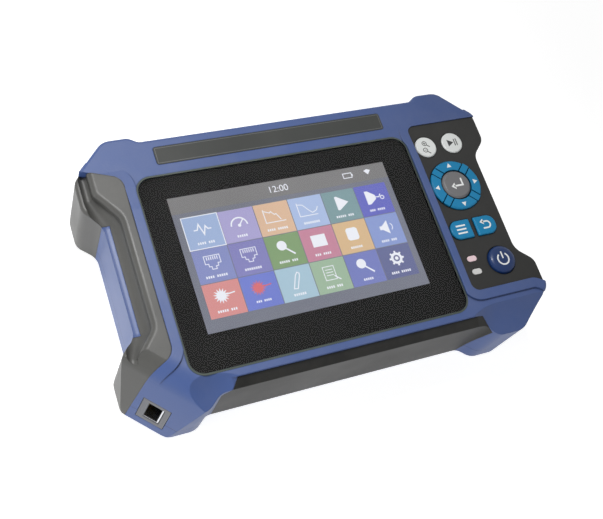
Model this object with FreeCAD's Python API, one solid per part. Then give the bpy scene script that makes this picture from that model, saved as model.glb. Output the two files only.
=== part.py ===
import FreeCAD, Part
import math
import os

# Handheld optical time domain reflectometer, in millimetres.
# +X runs to the right along the screen, +Y away from the user, +Z up.
# The origin is on the table under the middle of the case.

Vector = FreeCAD.Vector

# Screen, which the case is laid out around
display_width = 108.0
display_height = 64.8
glass_left_border = 11.5
glass_right_border = 14.7
glass_near_border = 16.3
glass_far_border = 11.1
glass_corner = 6.5
glass_thickness = 1.2
glass_proud = 0.2
glass_ledge = 2.4
gasket_width = 0.9
gasket_drop = 0.1
lcd_border = 5.5
lcd_thickness = 4.4

# Layout from the left end to the right end, with the glass between the bands
left_grip_width = 20.1
left_band_gap = 5.2
right_band_gap = 4.6
keypad_width = 39.9

# Layout from the near edge to the far edge, with the glass in the middle
near_setback = 5.4
glass_near_margin = 8.4
strip_gap = 5.9
strip_width = 8.9
strip_margin = 4.4
far_setback = 2.8

# Case plan
waist_setback = 8.0
corner_leg = 16.0
bulge_depth = 30.5
bulge_slope = 7.5
near_bulge_length = 36.0
far_bulge_length = 32.0
bulge_ramp_near = 6.0
bulge_ramp_far = 4.0
bulge_radius = 8.0
side_radius = 7.0
ramp_radius = 6.0
far_ramp_radius = 4.0

# Case heights
foot_height = 1.2
deck_z = 44.8
parting_z = 12.0
floor_thickness = 6.8
bottom_bevel = 2.4
deck_round = 1.6
band_rise = 1.2
band_width = 4.8
band_fade = 20.0

# How far a cutting tool reaches past what it cuts, and runs into what is already open
beyond = 10.0
overrun = 1.0

# Walls and clearances
seat_gap = 0.2
trim_gap = 0.1
key_gap = 0.25
pin_seat_gap = 0.02
hinge_gap = 0.05

# Sloping scoops at the two near corners
scoop_inset = 13.5
scoop_drop = 8.5
scoop_run = 12.5
scoop_radius = 40.0
scoop_end_inset = 30.0

# Near left corner: leaning face for the network socket
face_lean = 14.0
face_round = 12.0
socket_u = 1.2
socket_v = 14.5
insert_width = 13.2
insert_height = 15.6
insert_thickness = 2.4
socket_width = 7.6
socket_height = 11.8
socket_shift_u = 0.3
socket_depth = 14.0
housing_depth = 18.0
contact_count = 8
contact_pitch = 1.02
contact_size = 0.4
contact_setback = 2.0
contact_root = 1.0
contact_reach = 1.6
contact_tip_rise = 0.5
contact_tip_length = 0.4
latch_bite = 1.5
latch_skin = 0.8
latch_width = 3.2

# Name strip above the screen
strip_left_inset = 12.0
strip_right_inset = 7.4
strip_corner = 1.2
strip_thickness = 0.8
strip_proud = 0.1

# Left grip: a raised palm rest, and a finger channel between its ridge and the outer wall
grip_far_inset = 19.8
grip_outer_far_inset = 8.5
grip_near_inset = 24.4
grip_outer_near_inset = 7.6
grip_heel_inset = 19.4
grip_heel_offset = 8.4
grip_far_round = 6.0
grip_heel_round = 8.0
grip_near_round = 7.0
grip_top_rise = 0.6
grip_lip_drop = 3.8
ridge_round = 2.4
ledge_drop = 8.0
ledge_skin = 1.2
bulge_rubber = 10.0
lip_thickness = 1.6
channel_waist_offset = 9.0
channel_waist_radius = 6.1
channel_waist_drop = 1.8
channel_waist_far = 24.1
channel_waist_near = 23.8
channel_bulge_offset = 3.9
channel_bulge_radius = 2.2
channel_bulge_drop = 2.8
channel_bulge_far = 37.8
channel_bulge_near = 35.7
crown_inset = 0.35
ridge_bulge_round = 5.0
ridge_far_round = 9.0
ridge_near_round = 7.0
waist_shoulder = 2.7

# Near bumper bar
bar_left_step = -1.0
bar_right_step = 3.5
bar_foot_left = 1.5
bar_foot_right = 4.5
bar_end_drop = 5.0
bar_thickness = 4.2
bar_top_drop = 1.4
bar_break_drop = 4.4
bar_end_cut = 9.0

# Keypad; its rows share the free depth of the panel in these parts
keypad_near_inset = 21.0
keypad_far_inset = 17.0
keypad_corner = 4.0
keypad_heel_offset = 6.0
keypad_heel_radius = 8.0
keypad_slant = 9.0
keypad_middle_inset = 26.0
panel_drop = 0.4
panel_thickness = 2.4
panel_rim = 0.4
panel_seat = 2.5
key_edge = 0.5
key_skirt = 0.45
skirt_height = 0.8
skirt_gap = 0.3
key_travel = 0.6
key_reserve = 0.1
small_key_share = 0.2456
small_key_radius = 5.6
small_key_offset = 7.5
small_key_rise = 0.7
ring_share = 0.1439
ring_outer = 13.2
ring_inner = 8.1
ring_rise = 1.2
ring_edge = 0.6
divider_width = 3.4
divider_groove = 0.5
divider_drop = 0.1
enter_radius = 7.5
enter_rise = 1.8
enter_edge = 1.0
soft_key_share = 0.1807
soft_key_inner = 1.2
soft_key_width = 11.4
soft_key_depth = 9.7
soft_key_corner = 4.4
soft_key_inner_corner = 0.6
soft_key_rise = 1.0
power_share = 0.2439
power_radius = 7.1
power_offset = 7.6
power_rise = 2.2
power_edge = 0.9
lens_length = 5.3
lens_width = 3.0
lens_round = 1.45
lens_offset = 7.3
lens_near_step = 2.9
lens_far_step = 3.8
lens_proud = 0.1
mat_thickness = 1.0
board_thickness = 1.6
board_corner = 2.0

# Optical ports and their doors on the far side
port_z = 22.0
port_xs = {"reflectometer": -36.0, "laser": -12.0, "meter": 12.0}
well_radius = 7.2
well_depth = 8.0
flange_radius = 6.9
flange_thickness = 1.6
barrel_radius = 4.2
barrel_length = 4.4
stub_radius = 3.2
stub_length = 5.9
ferrule_radius = 1.25
ferrule_depth = 10.0
keyway_width = 1.6
keyway_depth = 0.9
keyway_length = 2.5
door_half_width = 7.6
door_drop = 7.8
door_thickness = 1.4
door_hinge_rise = 9.2
door_recess = 1.6
door_gap = 0.3
door_setback = 0.1
door_top_room = 1.0
knuckle_radius = 1.3
door_pin_radius = 0.6
door_pin_overhang = 2.0
door_corner = 2.0
nail_lip = 6.0
nail_lip_proud = 0.7
nail_lip_root = 0.5
nail_lip_rise = 1.0
nail_lip_height = 1.0

# Charging socket on the far side
charge_x = 40.0
charge_width = 9.0
charge_height = 3.3
charge_wall = 0.4
charge_length = 9.2
charge_slot_depth = 6.5
charge_proud = 6.0
charge_corner = 1.2
charge_tongue_width = 6.6
charge_tongue_height = 0.7
charge_tongue_setback = 1.0
charge_well_width = 12.4
charge_well_height = 7.2

# Inner pieces
cavity_left_inset = 23.5
cavity_right_inset = 13.5
cavity_near_inset = 12.0
cavity_far_inset = 14.0
cavity_split_inset = 2.6
cavity_corner = 5.0
board_inset = 2.0
post_inset = 4.0
post_half_width = 2.6
cavity_socket_cut = 22.0
board_gap = 1.2
battery_length = 112.0
battery_width = 39.0
battery_height = 20.0
battery_round = 2.0
module_left = -46.0
module_right = 22.0
module_depth = 27.1
module_headroom = 6.6
coil_inset = 7.5
coil_outer = 26.0
coil_inner = 20.0
coil_height = 7.0

# Underside
foot_half_length = 6.5
foot_half_width = 4.0
foot_bevel = 1.5
foot_seat = 0.8
foot_x_inset = 22.0
foot_y_inset = 17.0
battery_inset = 34.9
door_end_margin = 9.0
door_side_margin = 2.0
battery_door_thickness = 2.4
battery_door_corner = 4.0
finger_notch = 24.0
finger_notch_width = 3.0
finger_notch_inset = 7.0
finger_notch_depth = 0.8
door_screw_inset = 4.0
door_screw_skin = 0.6
small_screw_radius = 1.0
small_head_radius = 2.1
small_head_height = 1.2
case_screw_radius = 1.5
case_head_radius = 2.9
case_head_height = 2.4
case_head_sink = 1.0
case_screw_length = 22.0
case_screw_x_inset = 25.0
case_screw_y_inset = 7.0
stand_half_width = 32.0
stand_arm = 12.0
stand_door_gap = 11.6
stand_hinge_inset = 21.5
stand_bar = 8.0
stand_thickness = 2.8
stand_gap = 0.4
stand_lift = 0.3
stand_knuckle = 1.9
stand_pin_radius = 1.0
stand_pin_overhang = 4.0
stand_corner = 3.0
stand_well_near = 3.0
stand_well_far = 3.2

glass_width = glass_left_border + display_width + glass_right_border
glass_depth = glass_near_border + display_height + glass_far_border
case_length = left_grip_width + left_band_gap + glass_width + right_band_gap + keypad_width
near_part = near_setback + glass_near_margin
far_part = strip_gap + strip_width + strip_margin + far_setback
case_depth = near_part + glass_depth + far_part
half_length = case_length / 2
half_depth = case_depth / 2
waist_x = half_length - waist_setback
near_face_y = near_setback - half_depth
far_face_y = half_depth - far_setback
bulge_half_length = half_depth - bulge_depth
waist_half_length = bulge_half_length - bulge_slope
near_edge_half_length = half_length - near_bulge_length
far_edge_half_length = half_length - far_bulge_length
left_grip_edge = left_grip_width - half_length
glass_left = left_grip_edge + left_band_gap
glass_right = glass_left + glass_width
glass_near = near_face_y + glass_near_margin
glass_far = glass_near + glass_depth
display_x = glass_left + glass_left_border + display_width / 2
display_y = glass_near + glass_near_border + display_height / 2
strip_near = glass_far + strip_gap
strip_far = strip_near + strip_width
keypad_left = half_length - keypad_width
keypad_near = keypad_near_inset - half_depth
keypad_far = half_depth - keypad_far_inset
keypad_x = half_length - keypad_middle_inset
shell_bottom = foot_height
floor_z = shell_bottom + floor_thickness
band_z = deck_z + band_rise
glass_top = deck_z + glass_proud
glass_bottom = glass_top - glass_thickness
lcd_bottom = glass_bottom - lcd_thickness
board_top = lcd_bottom - board_gap
board_bottom = board_top - board_thickness
ledge_z = deck_z - ledge_drop
grip_top_z = deck_z + grip_top_rise
grip_lip_z = deck_z - grip_lip_drop
channel_waist_z = deck_z - channel_waist_drop
channel_bulge_z = deck_z - channel_bulge_drop
bar_top_z = deck_z - bar_top_drop
bar_break_z = deck_z - bar_break_drop
panel_z = deck_z - panel_drop
panel_bottom = panel_z - panel_thickness
skirt_bottom = panel_bottom - seat_gap - skirt_height
mat_top = skirt_bottom - key_travel - key_reserve
mat_bottom = mat_top - mat_thickness
key_well_left = keypad_left + panel_rim
key_well_right = waist_x - lip_thickness - panel_rim
key_well_near = keypad_near + panel_seat
key_well_far = keypad_far - panel_seat
ceiling_z = glass_bottom - glass_ledge

row_depths = 2 * (small_key_radius + ring_outer + power_radius) + soft_key_depth
row_free = keypad_far - keypad_near - row_depths
small_key_y = keypad_far - small_key_share * row_free - small_key_radius
ring_y = small_key_y - small_key_radius - ring_share * row_free - ring_outer
soft_key_y = ring_y - ring_outer - soft_key_share * row_free - soft_key_depth / 2
power_y = soft_key_y - soft_key_depth / 2 - power_share * row_free - power_radius
lens_near_y = power_y - lens_near_step
lens_far_y = power_y + lens_far_step

cavity_left = cavity_left_inset - half_length
cavity_right = half_length - cavity_right_inset
cavity_near = cavity_near_inset - half_depth
cavity_far = half_depth - cavity_far_inset
cavity_split = keypad_left - cavity_split_inset
coil_x = cavity_split - coil_inset
coil_y = key_well_far - skirt_gap - coil_outer

battery_y = battery_inset - half_depth
battery_door_length = battery_length + 2 * door_end_margin
battery_door_width = battery_width + 2 * door_side_margin
door_screw_x = battery_door_length / 2 - door_screw_inset
foot_x = half_length - foot_x_inset
foot_y = half_depth - foot_y_inset
case_screw_x = half_length - case_screw_x_inset
case_screw_y = half_depth - case_screw_y_inset
stand_hinge_y = half_depth - stand_hinge_inset
stand_near = battery_y + battery_door_width / 2 + stand_door_gap


def rounded_loop(corners, z=0.0):
    """Closed wire through corners (x, y, radius), each corner turned by a tangent arc."""
    points = [Vector(x, y, z) for x, y, _ in corners]
    edges = []
    starts = []
    ends = []
    arcs = []
    for i, corner in enumerate(points):
        radius = corners[i][2]
        back = (points[i - 1] - corner).normalize()
        ahead = (points[(i + 1) % len(points)] - corner).normalize()
        if radius <= 0:
            starts.append(corner)
            ends.append(corner)
            arcs.append(None)
            continue
        half = back.getAngle(ahead) / 2
        reach = radius / math.tan(half)
        centre = corner + (back + ahead).normalize() * (radius / math.sin(half))
        middle = centre + (corner - centre).normalize() * radius
        first = corner + back * reach
        last = corner + ahead * reach
        starts.append(first)
        ends.append(last)
        arcs.append(Part.Arc(first, middle, last).toShape())
    for i, arc in enumerate(arcs):
        if arc:
            edges.append(arc)
        after = starts[(i + 1) % len(points)]
        edges.append(Part.LineSegment(ends[i], after).toShape())
    return Part.Wire(edges)


def prism(corners, low, high, grow=0.0):
    """Upright prism on a rounded outline, its walls moved out by grow."""
    wire = rounded_loop(corners, low)
    if grow:
        wire = wire.makeOffset2D(grow)
    return Part.Face(wire).extrude(Vector(0, 0, high - low))


def rectangle(left, right, near, far, radius=0.0):
    return [(left, near, radius), (right, near, radius), (right, far, radius), (left, far, radius)]


def block(left, right, near, far, low, high):
    return Part.makeBox(right - left, far - near, high - low, Vector(left, near, low))


def post(radius, x, y, low, high):
    return Part.makeCylinder(radius, high - low, Vector(x, y, low))


def rod_x(radius, left, right, y, z):
    return Part.makeCylinder(radius, right - left, Vector(left, y, z), Vector(1, 0, 0))


def rod_y(radius, near, far, x, z):
    return Part.makeCylinder(radius, far - near, Vector(x, near, z), Vector(0, 1, 0))


def level_edges(shape, z):
    """Edges that lie flat at height z."""
    chosen = []
    for edge in shape.Edges:
        box = edge.BoundBox
        if abs(box.ZMin - z) < 0.01 and abs(box.ZMax - z) < 0.01:
            chosen.append(edge)
    return chosen


def joined(shapes):
    result = shapes[0]
    if len(shapes) > 1:
        result = result.fuse(shapes[1:])
    return result.removeSplitter()


def save(name, shape):
    """Write one node, checked to be made of closed valid solids."""
    solids = shape.Solids
    if not solids or not all(s.isValid() and s.Volume > 0 for s in solids):
        raise ValueError(name + " is not made of closed solids")
    result = solids[0] if len(solids) == 1 else Part.makeCompound(solids)
    result.exportStep("parts/" + name + ".step")
    triangles = len(result.tessellate(0.4)[1])
    print(f"{name:22s} solids {len(solids):2d} volume {result.Volume / 1000:8.2f} cm3 triangles {triangles}")


def plan_corners():
    """Plan of the case: four corner bulges joined by a waist, a bar and a flat far edge."""
    side = [
        (near_edge_half_length, near_face_y, ramp_radius),
        (near_edge_half_length + bulge_ramp_near, -half_depth, bulge_radius),
        (half_length - corner_leg, -half_depth, bulge_radius),
        (half_length, corner_leg - half_depth, side_radius),
        (half_length, -bulge_half_length, ramp_radius),
        (waist_x, -waist_half_length, bulge_radius),
        (waist_x, waist_half_length, bulge_radius),
        (half_length, bulge_half_length, ramp_radius),
        (half_length, half_depth - corner_leg, side_radius),
        (half_length - corner_leg, half_depth, bulge_radius),
        (far_edge_half_length + bulge_ramp_far, half_depth, ramp_radius),
        (far_edge_half_length, far_face_y, far_ramp_radius),
    ]
    return side + [(-x, y, radius) for x, y, radius in reversed(side)]


def face_placement():
    """Frame of the leaning socket face: x along it, y up it, z out of it."""
    lean = math.radians(face_lean)
    flat = math.sin(math.radians(45))
    along = Vector(flat, -flat, 0)
    up = Vector(flat * math.sin(lean), flat * math.sin(lean), math.cos(lean))
    out = along.cross(up)
    middle = corner_leg / 2
    foot = Vector(middle - half_length, middle - half_depth, shell_bottom)
    return FreeCAD.Placement(foot, FreeCAD.Rotation(along, up, out, "ZYX"))


def on_face(shape):
    placed = shape.copy()
    placed.Placement = face_placement().multiply(placed.Placement)
    return placed


def face_trim(top):
    """What the leaning face and its rounded brow take off the near left corner."""
    reach = 2 * corner_leg
    trim = on_face(block(-reach, reach, -reach, 2 * top, 0, reach))
    lean = math.radians(face_lean)
    brow_y = (top - shell_bottom) / math.cos(lean)
    turn = (math.pi / 2 - lean) / 2
    run = face_round * math.tan(turn)
    # The wedge between the face and the deck, less the round that is left standing
    inward = Vector(0, math.sin(lean), -math.cos(lean))
    edge = Vector(-reach, brow_y, 0)
    lower = edge - Vector(0, run, 0)
    back = edge + inward * run
    wedge = Part.Face(Part.makePolygon([edge, lower, back, edge])).extrude(Vector(2 * reach, 0, 0))
    axis_point = lower - Vector(0, 0, face_round)
    round_rod = Part.makeCylinder(face_round, 2 * reach, axis_point, Vector(1, 0, 0))
    return trim.fuse(on_face(wedge.cut(round_rod)))


def rounded_block(top):
    """Plan of the case raised to the given height, with a bevelled foot and a rounded top edge."""
    body = prism(plan_corners(), shell_bottom, top)
    body = body.makeChamfer(bottom_bevel, level_edges(body, shell_bottom))
    return body.makeFillet(deck_round, level_edges(body, top))


def case_block(top):
    """The whole case as one rounded block up to the given height, with its leaning face."""
    return rounded_block(top).cut(face_trim(top))


def scoops():
    """Concave tools that slope the deck down to the two near corners."""
    chord = math.hypot(scoop_run, scoop_drop)
    rise = math.sqrt(scoop_radius ** 2 - (chord / 2) ** 2)
    y = scoop_inset - half_depth - scoop_run / 2 - rise * scoop_drop / chord
    z = deck_z - scoop_drop / 2 + rise * scoop_run / chord
    tools = []
    for side in (-1, 1):
        start = Vector(side * (half_length - scoop_end_inset), y, z)
        tools.append(Part.makeCylinder(scoop_radius, half_length, start, Vector(side, 0, 0)))
        tools.append(Part.makeSphere(scoop_radius, start))
    return joined(tools)


def left_grip_outline():
    outside = half_length + beyond
    return [
        (left_grip_edge, half_depth - grip_far_inset, grip_far_round),
        (-outside, half_depth - grip_outer_far_inset, 0),
        (-outside, grip_outer_near_inset - half_depth, 0),
        (grip_heel_offset - half_length, grip_heel_inset - half_depth, grip_heel_round),
        (left_grip_edge, grip_near_inset - half_depth, grip_near_round),
    ]


def keypad_outline():
    outside = half_length + beyond
    return [
        (keypad_left, keypad_near, keypad_corner),
        (half_length - keypad_heel_offset, keypad_near, keypad_heel_radius),
        (outside, keypad_near - keypad_slant, 0),
        (outside, keypad_far, 0),
        (keypad_left, keypad_far, keypad_corner),
    ]


def bulge_zone(outline, side):
    """Full-height rubber at the two bulges of one side."""
    inner = side * (half_length - bulge_rubber)
    outer = side * (half_length + beyond)
    left, right = sorted((inner, outer))
    region = prism(outline, 0, 2 * deck_z)
    ends = []
    for near, far in ((-half_depth, -waist_half_length), (waist_half_length, half_depth)):
        ends.append(region.common(block(left, right, near, far, 0, 2 * deck_z)))
    return ends


def waist_strip():
    """Shoulder of the shell beside the left grip, between the two bulges."""
    right = waist_shoulder - waist_x
    return block(-half_length - beyond, right, -waist_half_length, waist_half_length, parting_z, 2 * deck_z)


def left_grip_zone():
    top = prism(left_grip_outline(), ledge_z - ledge_skin, 2 * deck_z).cut(waist_strip())
    return joined([top] + bulge_zone(left_grip_outline(), -1))


def right_grip_zone():
    edge = waist_x - lip_thickness
    plate = prism(keypad_outline(), panel_bottom, 2 * deck_z)
    lip = prism(keypad_outline(), ledge_z, 2 * deck_z)
    lip = lip.common(block(edge, half_length + beyond, -half_depth, half_depth, 0, 2 * deck_z))
    return joined([plate, lip] + bulge_zone(keypad_outline(), 1))


def channel_turns():
    """Points where the finger channel turns, from far to near: its middle and its radius."""
    waist_middle = channel_waist_offset - half_length
    bulge_middle = channel_bulge_offset - half_length
    bulge = (bulge_middle, channel_bulge_z, channel_bulge_radius)
    waist = (waist_middle, channel_waist_z, channel_waist_radius)
    places = [
        (channel_bulge_far, bulge),
        (channel_waist_far, waist),
        (-channel_waist_near, waist),
        (-channel_bulge_near, bulge),
    ]
    return [(Vector(x, y, z), radius) for y, (x, z, radius) in places]


def tapered_rod(start, start_radius, end, end_radius):
    """Cone that touches the balls at both ends all round."""
    along = (end - start).normalize()
    slope = (start_radius - end_radius) / (end - start).Length
    flank = math.sqrt(1 - slope ** 2)
    first = start + along * (start_radius * slope)
    last = end + along * (end_radius * slope)
    if abs(start_radius - end_radius) < 0.001:
        return Part.makeCylinder(start_radius, (last - first).Length, first, along)
    return Part.makeCone(start_radius * flank, end_radius * flank, (last - first).Length, first, along)


def finger_channel():
    """Round-bottomed channel beside the ridge: wide along the waist, narrow at the bulges."""
    turns = channel_turns()
    far_end = Vector(turns[0][0].x, half_depth + beyond, channel_bulge_z)
    near_end = Vector(turns[-1][0].x, -half_depth - beyond, channel_bulge_z)
    stops = [(far_end, channel_bulge_radius)] + turns + [(near_end, channel_bulge_radius)]
    tools = [Part.makeSphere(radius, middle) for middle, radius in turns]
    for (start, start_radius), (end, end_radius) in zip(stops, stops[1:]):
        tools.append(tapered_rod(start, start_radius, end, end_radius))
    return tools


def crown_turn(waist, bulge):
    """Plan of the crown's wall where it leaves the waist: its corner there and at the bulge."""
    (waist_middle, waist_radius), (bulge_middle, bulge_radius) = waist, bulge
    waist_reach = waist_radius - crown_inset
    bulge_reach = bulge_radius - crown_inset
    run = Vector(bulge_middle.x - waist_middle.x, bulge_middle.y - waist_middle.y, 0)
    slope = (waist_reach - bulge_reach) / run.Length
    along = run.normalize()
    side = Vector(abs(along.y), -along.x * math.copysign(1, along.y), 0)
    out = along * slope + side * math.sqrt(1 - slope ** 2)
    offset = out.x * waist_middle.x + out.y * waist_middle.y + waist_reach
    corners = []
    for x in (waist_middle.x + waist_reach, bulge_middle.x + bulge_reach):
        corners.append((x, (offset - out.x * x) / out.y))
    return corners


def grip_crown():
    """Raised palm rest of the left grip, with a rounded ridge along the channel."""
    inner = left_grip_edge + beyond
    end = half_depth + beyond
    turns = channel_turns()
    far_waist, far_bulge = crown_turn(turns[1], turns[0])
    near_waist, near_bulge = crown_turn(turns[2], turns[3])
    outline = [
        (inner, end, 0),
        (far_bulge[0], end, 0),
        (far_bulge[0], far_bulge[1], ridge_bulge_round),
        (far_waist[0], far_waist[1], ridge_far_round),
        (near_waist[0], near_waist[1], ridge_near_round),
        (near_bulge[0], near_bulge[1], ridge_bulge_round),
        (near_bulge[0], -end, 0),
        (inner, -end, 0),
    ]
    crown = prism(outline, ledge_z, grip_top_z)
    ridge = [e for e in level_edges(crown, grip_top_z) if e.BoundBox.XMax < inner - overrun]
    return crown.makeFillet(ridge_round, ridge)


def make_left_grip():
    whole = case_block(band_z).common(left_grip_zone())
    base = rounded_block(grip_lip_z)
    for tool in finger_channel():
        base = base.cut(tool)
    return whole.common(base.fuse(grip_crown())).removeSplitter()


def key_hole_cutters():
    """Openings in the keypad panel, one for each key and lens."""
    low = mat_bottom
    high = band_z
    tools = []
    for x in (keypad_x - small_key_offset, keypad_x + small_key_offset):
        tools.append(post(small_key_radius + key_gap, x, small_key_y, low, high))
    tools.append(post(ring_outer + key_gap, keypad_x, ring_y, low, high))
    for side in (-1, 1):
        tools.append(prism(soft_key_outline(side), low, high, key_gap))
    tools.append(post(power_radius + key_gap, keypad_x + power_offset, power_y, low, high))
    for y in (lens_near_y, lens_far_y):
        tools.append(prism(lens_outline(y), low, high))
    return tools


def soft_key_outline(side):
    """Key with a round outer end and a straight inner edge."""
    inner = keypad_x + side * soft_key_inner
    outer = inner + side * soft_key_width
    near = soft_key_y - soft_key_depth / 2
    far = soft_key_y + soft_key_depth / 2
    corners = [
        (inner, near, soft_key_inner_corner),
        (outer, near, soft_key_corner),
        (outer, far, soft_key_corner),
        (inner, far, soft_key_inner_corner),
    ]
    return corners if side > 0 else corners[::-1]


def lens_outline(y):
    x = keypad_x - lens_offset
    reach = lens_length / 2
    rise = lens_width / 2
    return rectangle(x - reach, x + reach, y - rise, y + rise, lens_round)


def make_right_grip():
    whole = case_block(panel_z).common(right_grip_zone())
    for cutter in key_hole_cutters():
        whole = whole.cut(cutter)
    return whole


def bar_zone():
    """The bumper bar's place: the near wall between the corners, with slanted upper ends."""
    low = shell_bottom + bottom_bevel
    left = -near_edge_half_length - bar_left_step
    right = near_edge_half_length + bar_right_step
    back = near_face_y + bar_thickness
    side_view = [
        (left + bar_foot_left, low),
        (right - bar_foot_right, low),
        (right, bar_break_z - bar_end_drop),
        (right - bar_end_cut, band_z),
        (left + bar_end_cut, band_z),
        (left, bar_break_z - bar_end_drop),
    ]
    outside = -half_depth - beyond
    points = [Vector(x, outside, z) for x, z in side_view]
    outline = Part.makePolygon(points + points[:1])
    return Part.Face(outline).extrude(Vector(0, back - outside, 0))


def bar_slope():
    """Wedge above the bar: its top slopes from the deck out to the upright face."""
    top_edge = near_face_y + bar_thickness
    outside = near_face_y - beyond
    slope = (bar_top_z - bar_break_z) / bar_thickness
    left = -near_edge_half_length
    points = [
        Vector(left, top_edge, deck_z + beyond),
        Vector(left, top_edge, bar_top_z),
        Vector(left, outside, bar_break_z - beyond * slope),
        Vector(left, outside, deck_z + beyond),
    ]
    return Part.Face(Part.makePolygon(points + points[:1])).extrude(Vector(2 * near_edge_half_length, 0, 0))


def raised_bands():
    """Raised blue borders that run round the left grip and the keypad."""
    tall = case_block(band_z)
    fade = band_rise / band_fade
    start = half_depth - corner_leg - band_fade
    bands = []
    for outline in (left_grip_outline(), keypad_outline()):
        ring = prism(outline, ledge_z, band_z + overrun, band_width).cut(prism(outline, 0, 2 * deck_z))
        bands.append(tall.common(ring))
    ramp_points = [
        Vector(-case_length, start, band_z),
        Vector(-case_length, case_depth, band_z - (case_depth - start) * fade),
        Vector(-case_length, case_depth, band_z + beyond),
        Vector(-case_length, start, band_z + beyond),
    ]
    ramp = Part.Face(Part.makePolygon(ramp_points + ramp_points[:1])).extrude(Vector(2 * case_length, 0, 0))
    return [band.cut(ramp) for band in bands]


def glass_outline(grow=0.0):
    sides = (glass_left - grow, glass_right + grow, glass_near - grow, glass_far + grow)
    return rectangle(*sides, glass_corner + grow)


def lcd_outline(grow=0.0):
    reach_x = display_width / 2 + lcd_border + grow
    reach_y = display_height / 2 + lcd_border + grow
    return rectangle(display_x - reach_x, display_x + reach_x, display_y - reach_y, display_y + reach_y)


def strip_outline(grow=0.0):
    left = glass_left + strip_left_inset - grow
    right = glass_right - strip_right_inset + grow
    return rectangle(left, right, strip_near - grow, strip_far + grow, strip_corner + grow)


def key_well_outline():
    """Hollow under the keypad panel, where the mat and the key skirts lie."""
    return rectangle(key_well_left, key_well_right, key_well_near, key_well_far, keypad_corner)


def keypad_side_outline(left):
    """Lower hollow under the keypad, where its board lies, from a given left edge."""
    return rectangle(left, cavity_right, key_well_near, key_well_far, cavity_corner)


def cavity():
    """Hollow of the two shells, lower under the keypad and cut back round the network socket."""
    main = [
        (cavity_left, cavity_near + cavity_socket_cut, cavity_corner),
        (cavity_left + cavity_socket_cut, cavity_near, cavity_corner),
        (cavity_split, cavity_near, cavity_corner),
        (cavity_split, cavity_far, cavity_corner),
        (cavity_left, cavity_far, cavity_corner),
    ]
    return joined([
        prism(main, floor_z, ceiling_z),
        prism(keypad_side_outline(cavity_split - 2 * cavity_corner), floor_z, mat_bottom),
        prism(key_well_outline(), mat_bottom, panel_bottom),
        prism(lcd_outline(seat_gap), lcd_bottom - seat_gap, glass_bottom),
    ])


def insert_box(grow, low, high):
    reach_u = insert_width / 2 + grow
    reach_v = insert_height / 2 + grow
    return block(socket_u - reach_u, socket_u + reach_u, socket_v - reach_v, socket_v + reach_v, low, high)


def socket_box(low, high):
    centre = socket_u + socket_shift_u
    reach_u = socket_width / 2
    reach_v = socket_height / 2
    return block(centre - reach_u, centre + reach_u, socket_v - reach_v, socket_v + reach_v, low, high)


def door_place():
    """Values that a port door and its recess share."""
    outer_y = far_face_y - door_setback
    return {"outer_y": outer_y, "hinge_y": outer_y - knuckle_radius, "hinge_z": port_z + door_hinge_rise}


def door_recess_tool(x):
    place = door_place()
    reach = door_half_width + door_gap
    top = place["hinge_z"] + knuckle_radius + door_top_room
    recess_y = far_face_y - door_recess
    low = port_z - door_drop - door_gap
    box = block(x - reach, x + reach, recess_y, half_depth, low, top)
    groove = rod_x(knuckle_radius + door_gap, x - reach, x + reach, place["hinge_y"], place["hinge_z"])
    end = reach + door_pin_overhang
    hole = rod_x(door_pin_radius + pin_seat_gap, x - end, x + end, place["hinge_y"], place["hinge_z"])
    return [box, groove, hole]


def port_tools():
    """Wells, recesses and holes on the far side."""
    floor_y = far_face_y - well_depth
    tools = []
    for x in port_xs.values():
        tools.append(rod_y(well_radius, floor_y, half_depth, x, port_z))
        tools.append(rod_y(stub_radius + seat_gap / 2, cavity_far - overrun, floor_y + overrun, x, port_z))
        tools.extend(door_recess_tool(x))
    reach = charge_well_width / 2
    rise = charge_well_height / 2
    low = port_z - rise
    high = port_z + rise
    tools.append(block(charge_x - reach, charge_x + reach, floor_y, half_depth, low, high))
    reach = charge_width / 2 + hinge_gap
    low = port_z - charge_height / 2 - hinge_gap
    high = port_z + charge_height / 2 + hinge_gap
    near = cavity_far - overrun
    tools.append(block(charge_x - reach, charge_x + reach, near, floor_y + overrun, low, high))
    tools.extend(door_recess_tool(charge_x))
    return tools


def stand_outline(grow=0.0):
    """Plan of the fold-out stand: two arms and a bar."""
    outer = stand_half_width + grow
    inner = stand_half_width - stand_arm - grow
    near = stand_near - grow
    bar = stand_near + stand_bar + grow
    far = stand_hinge_y
    radius = stand_corner
    return [
        (-outer, near, radius), (outer, near, radius), (outer, far, 0), (inner, far, 0),
        (inner, bar, radius), (-inner, bar, radius), (-inner, far, 0), (-outer, far, 0),
    ]


def stand_levels():
    low = shell_bottom + stand_lift
    return low, low + stand_thickness, low + stand_knuckle


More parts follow.
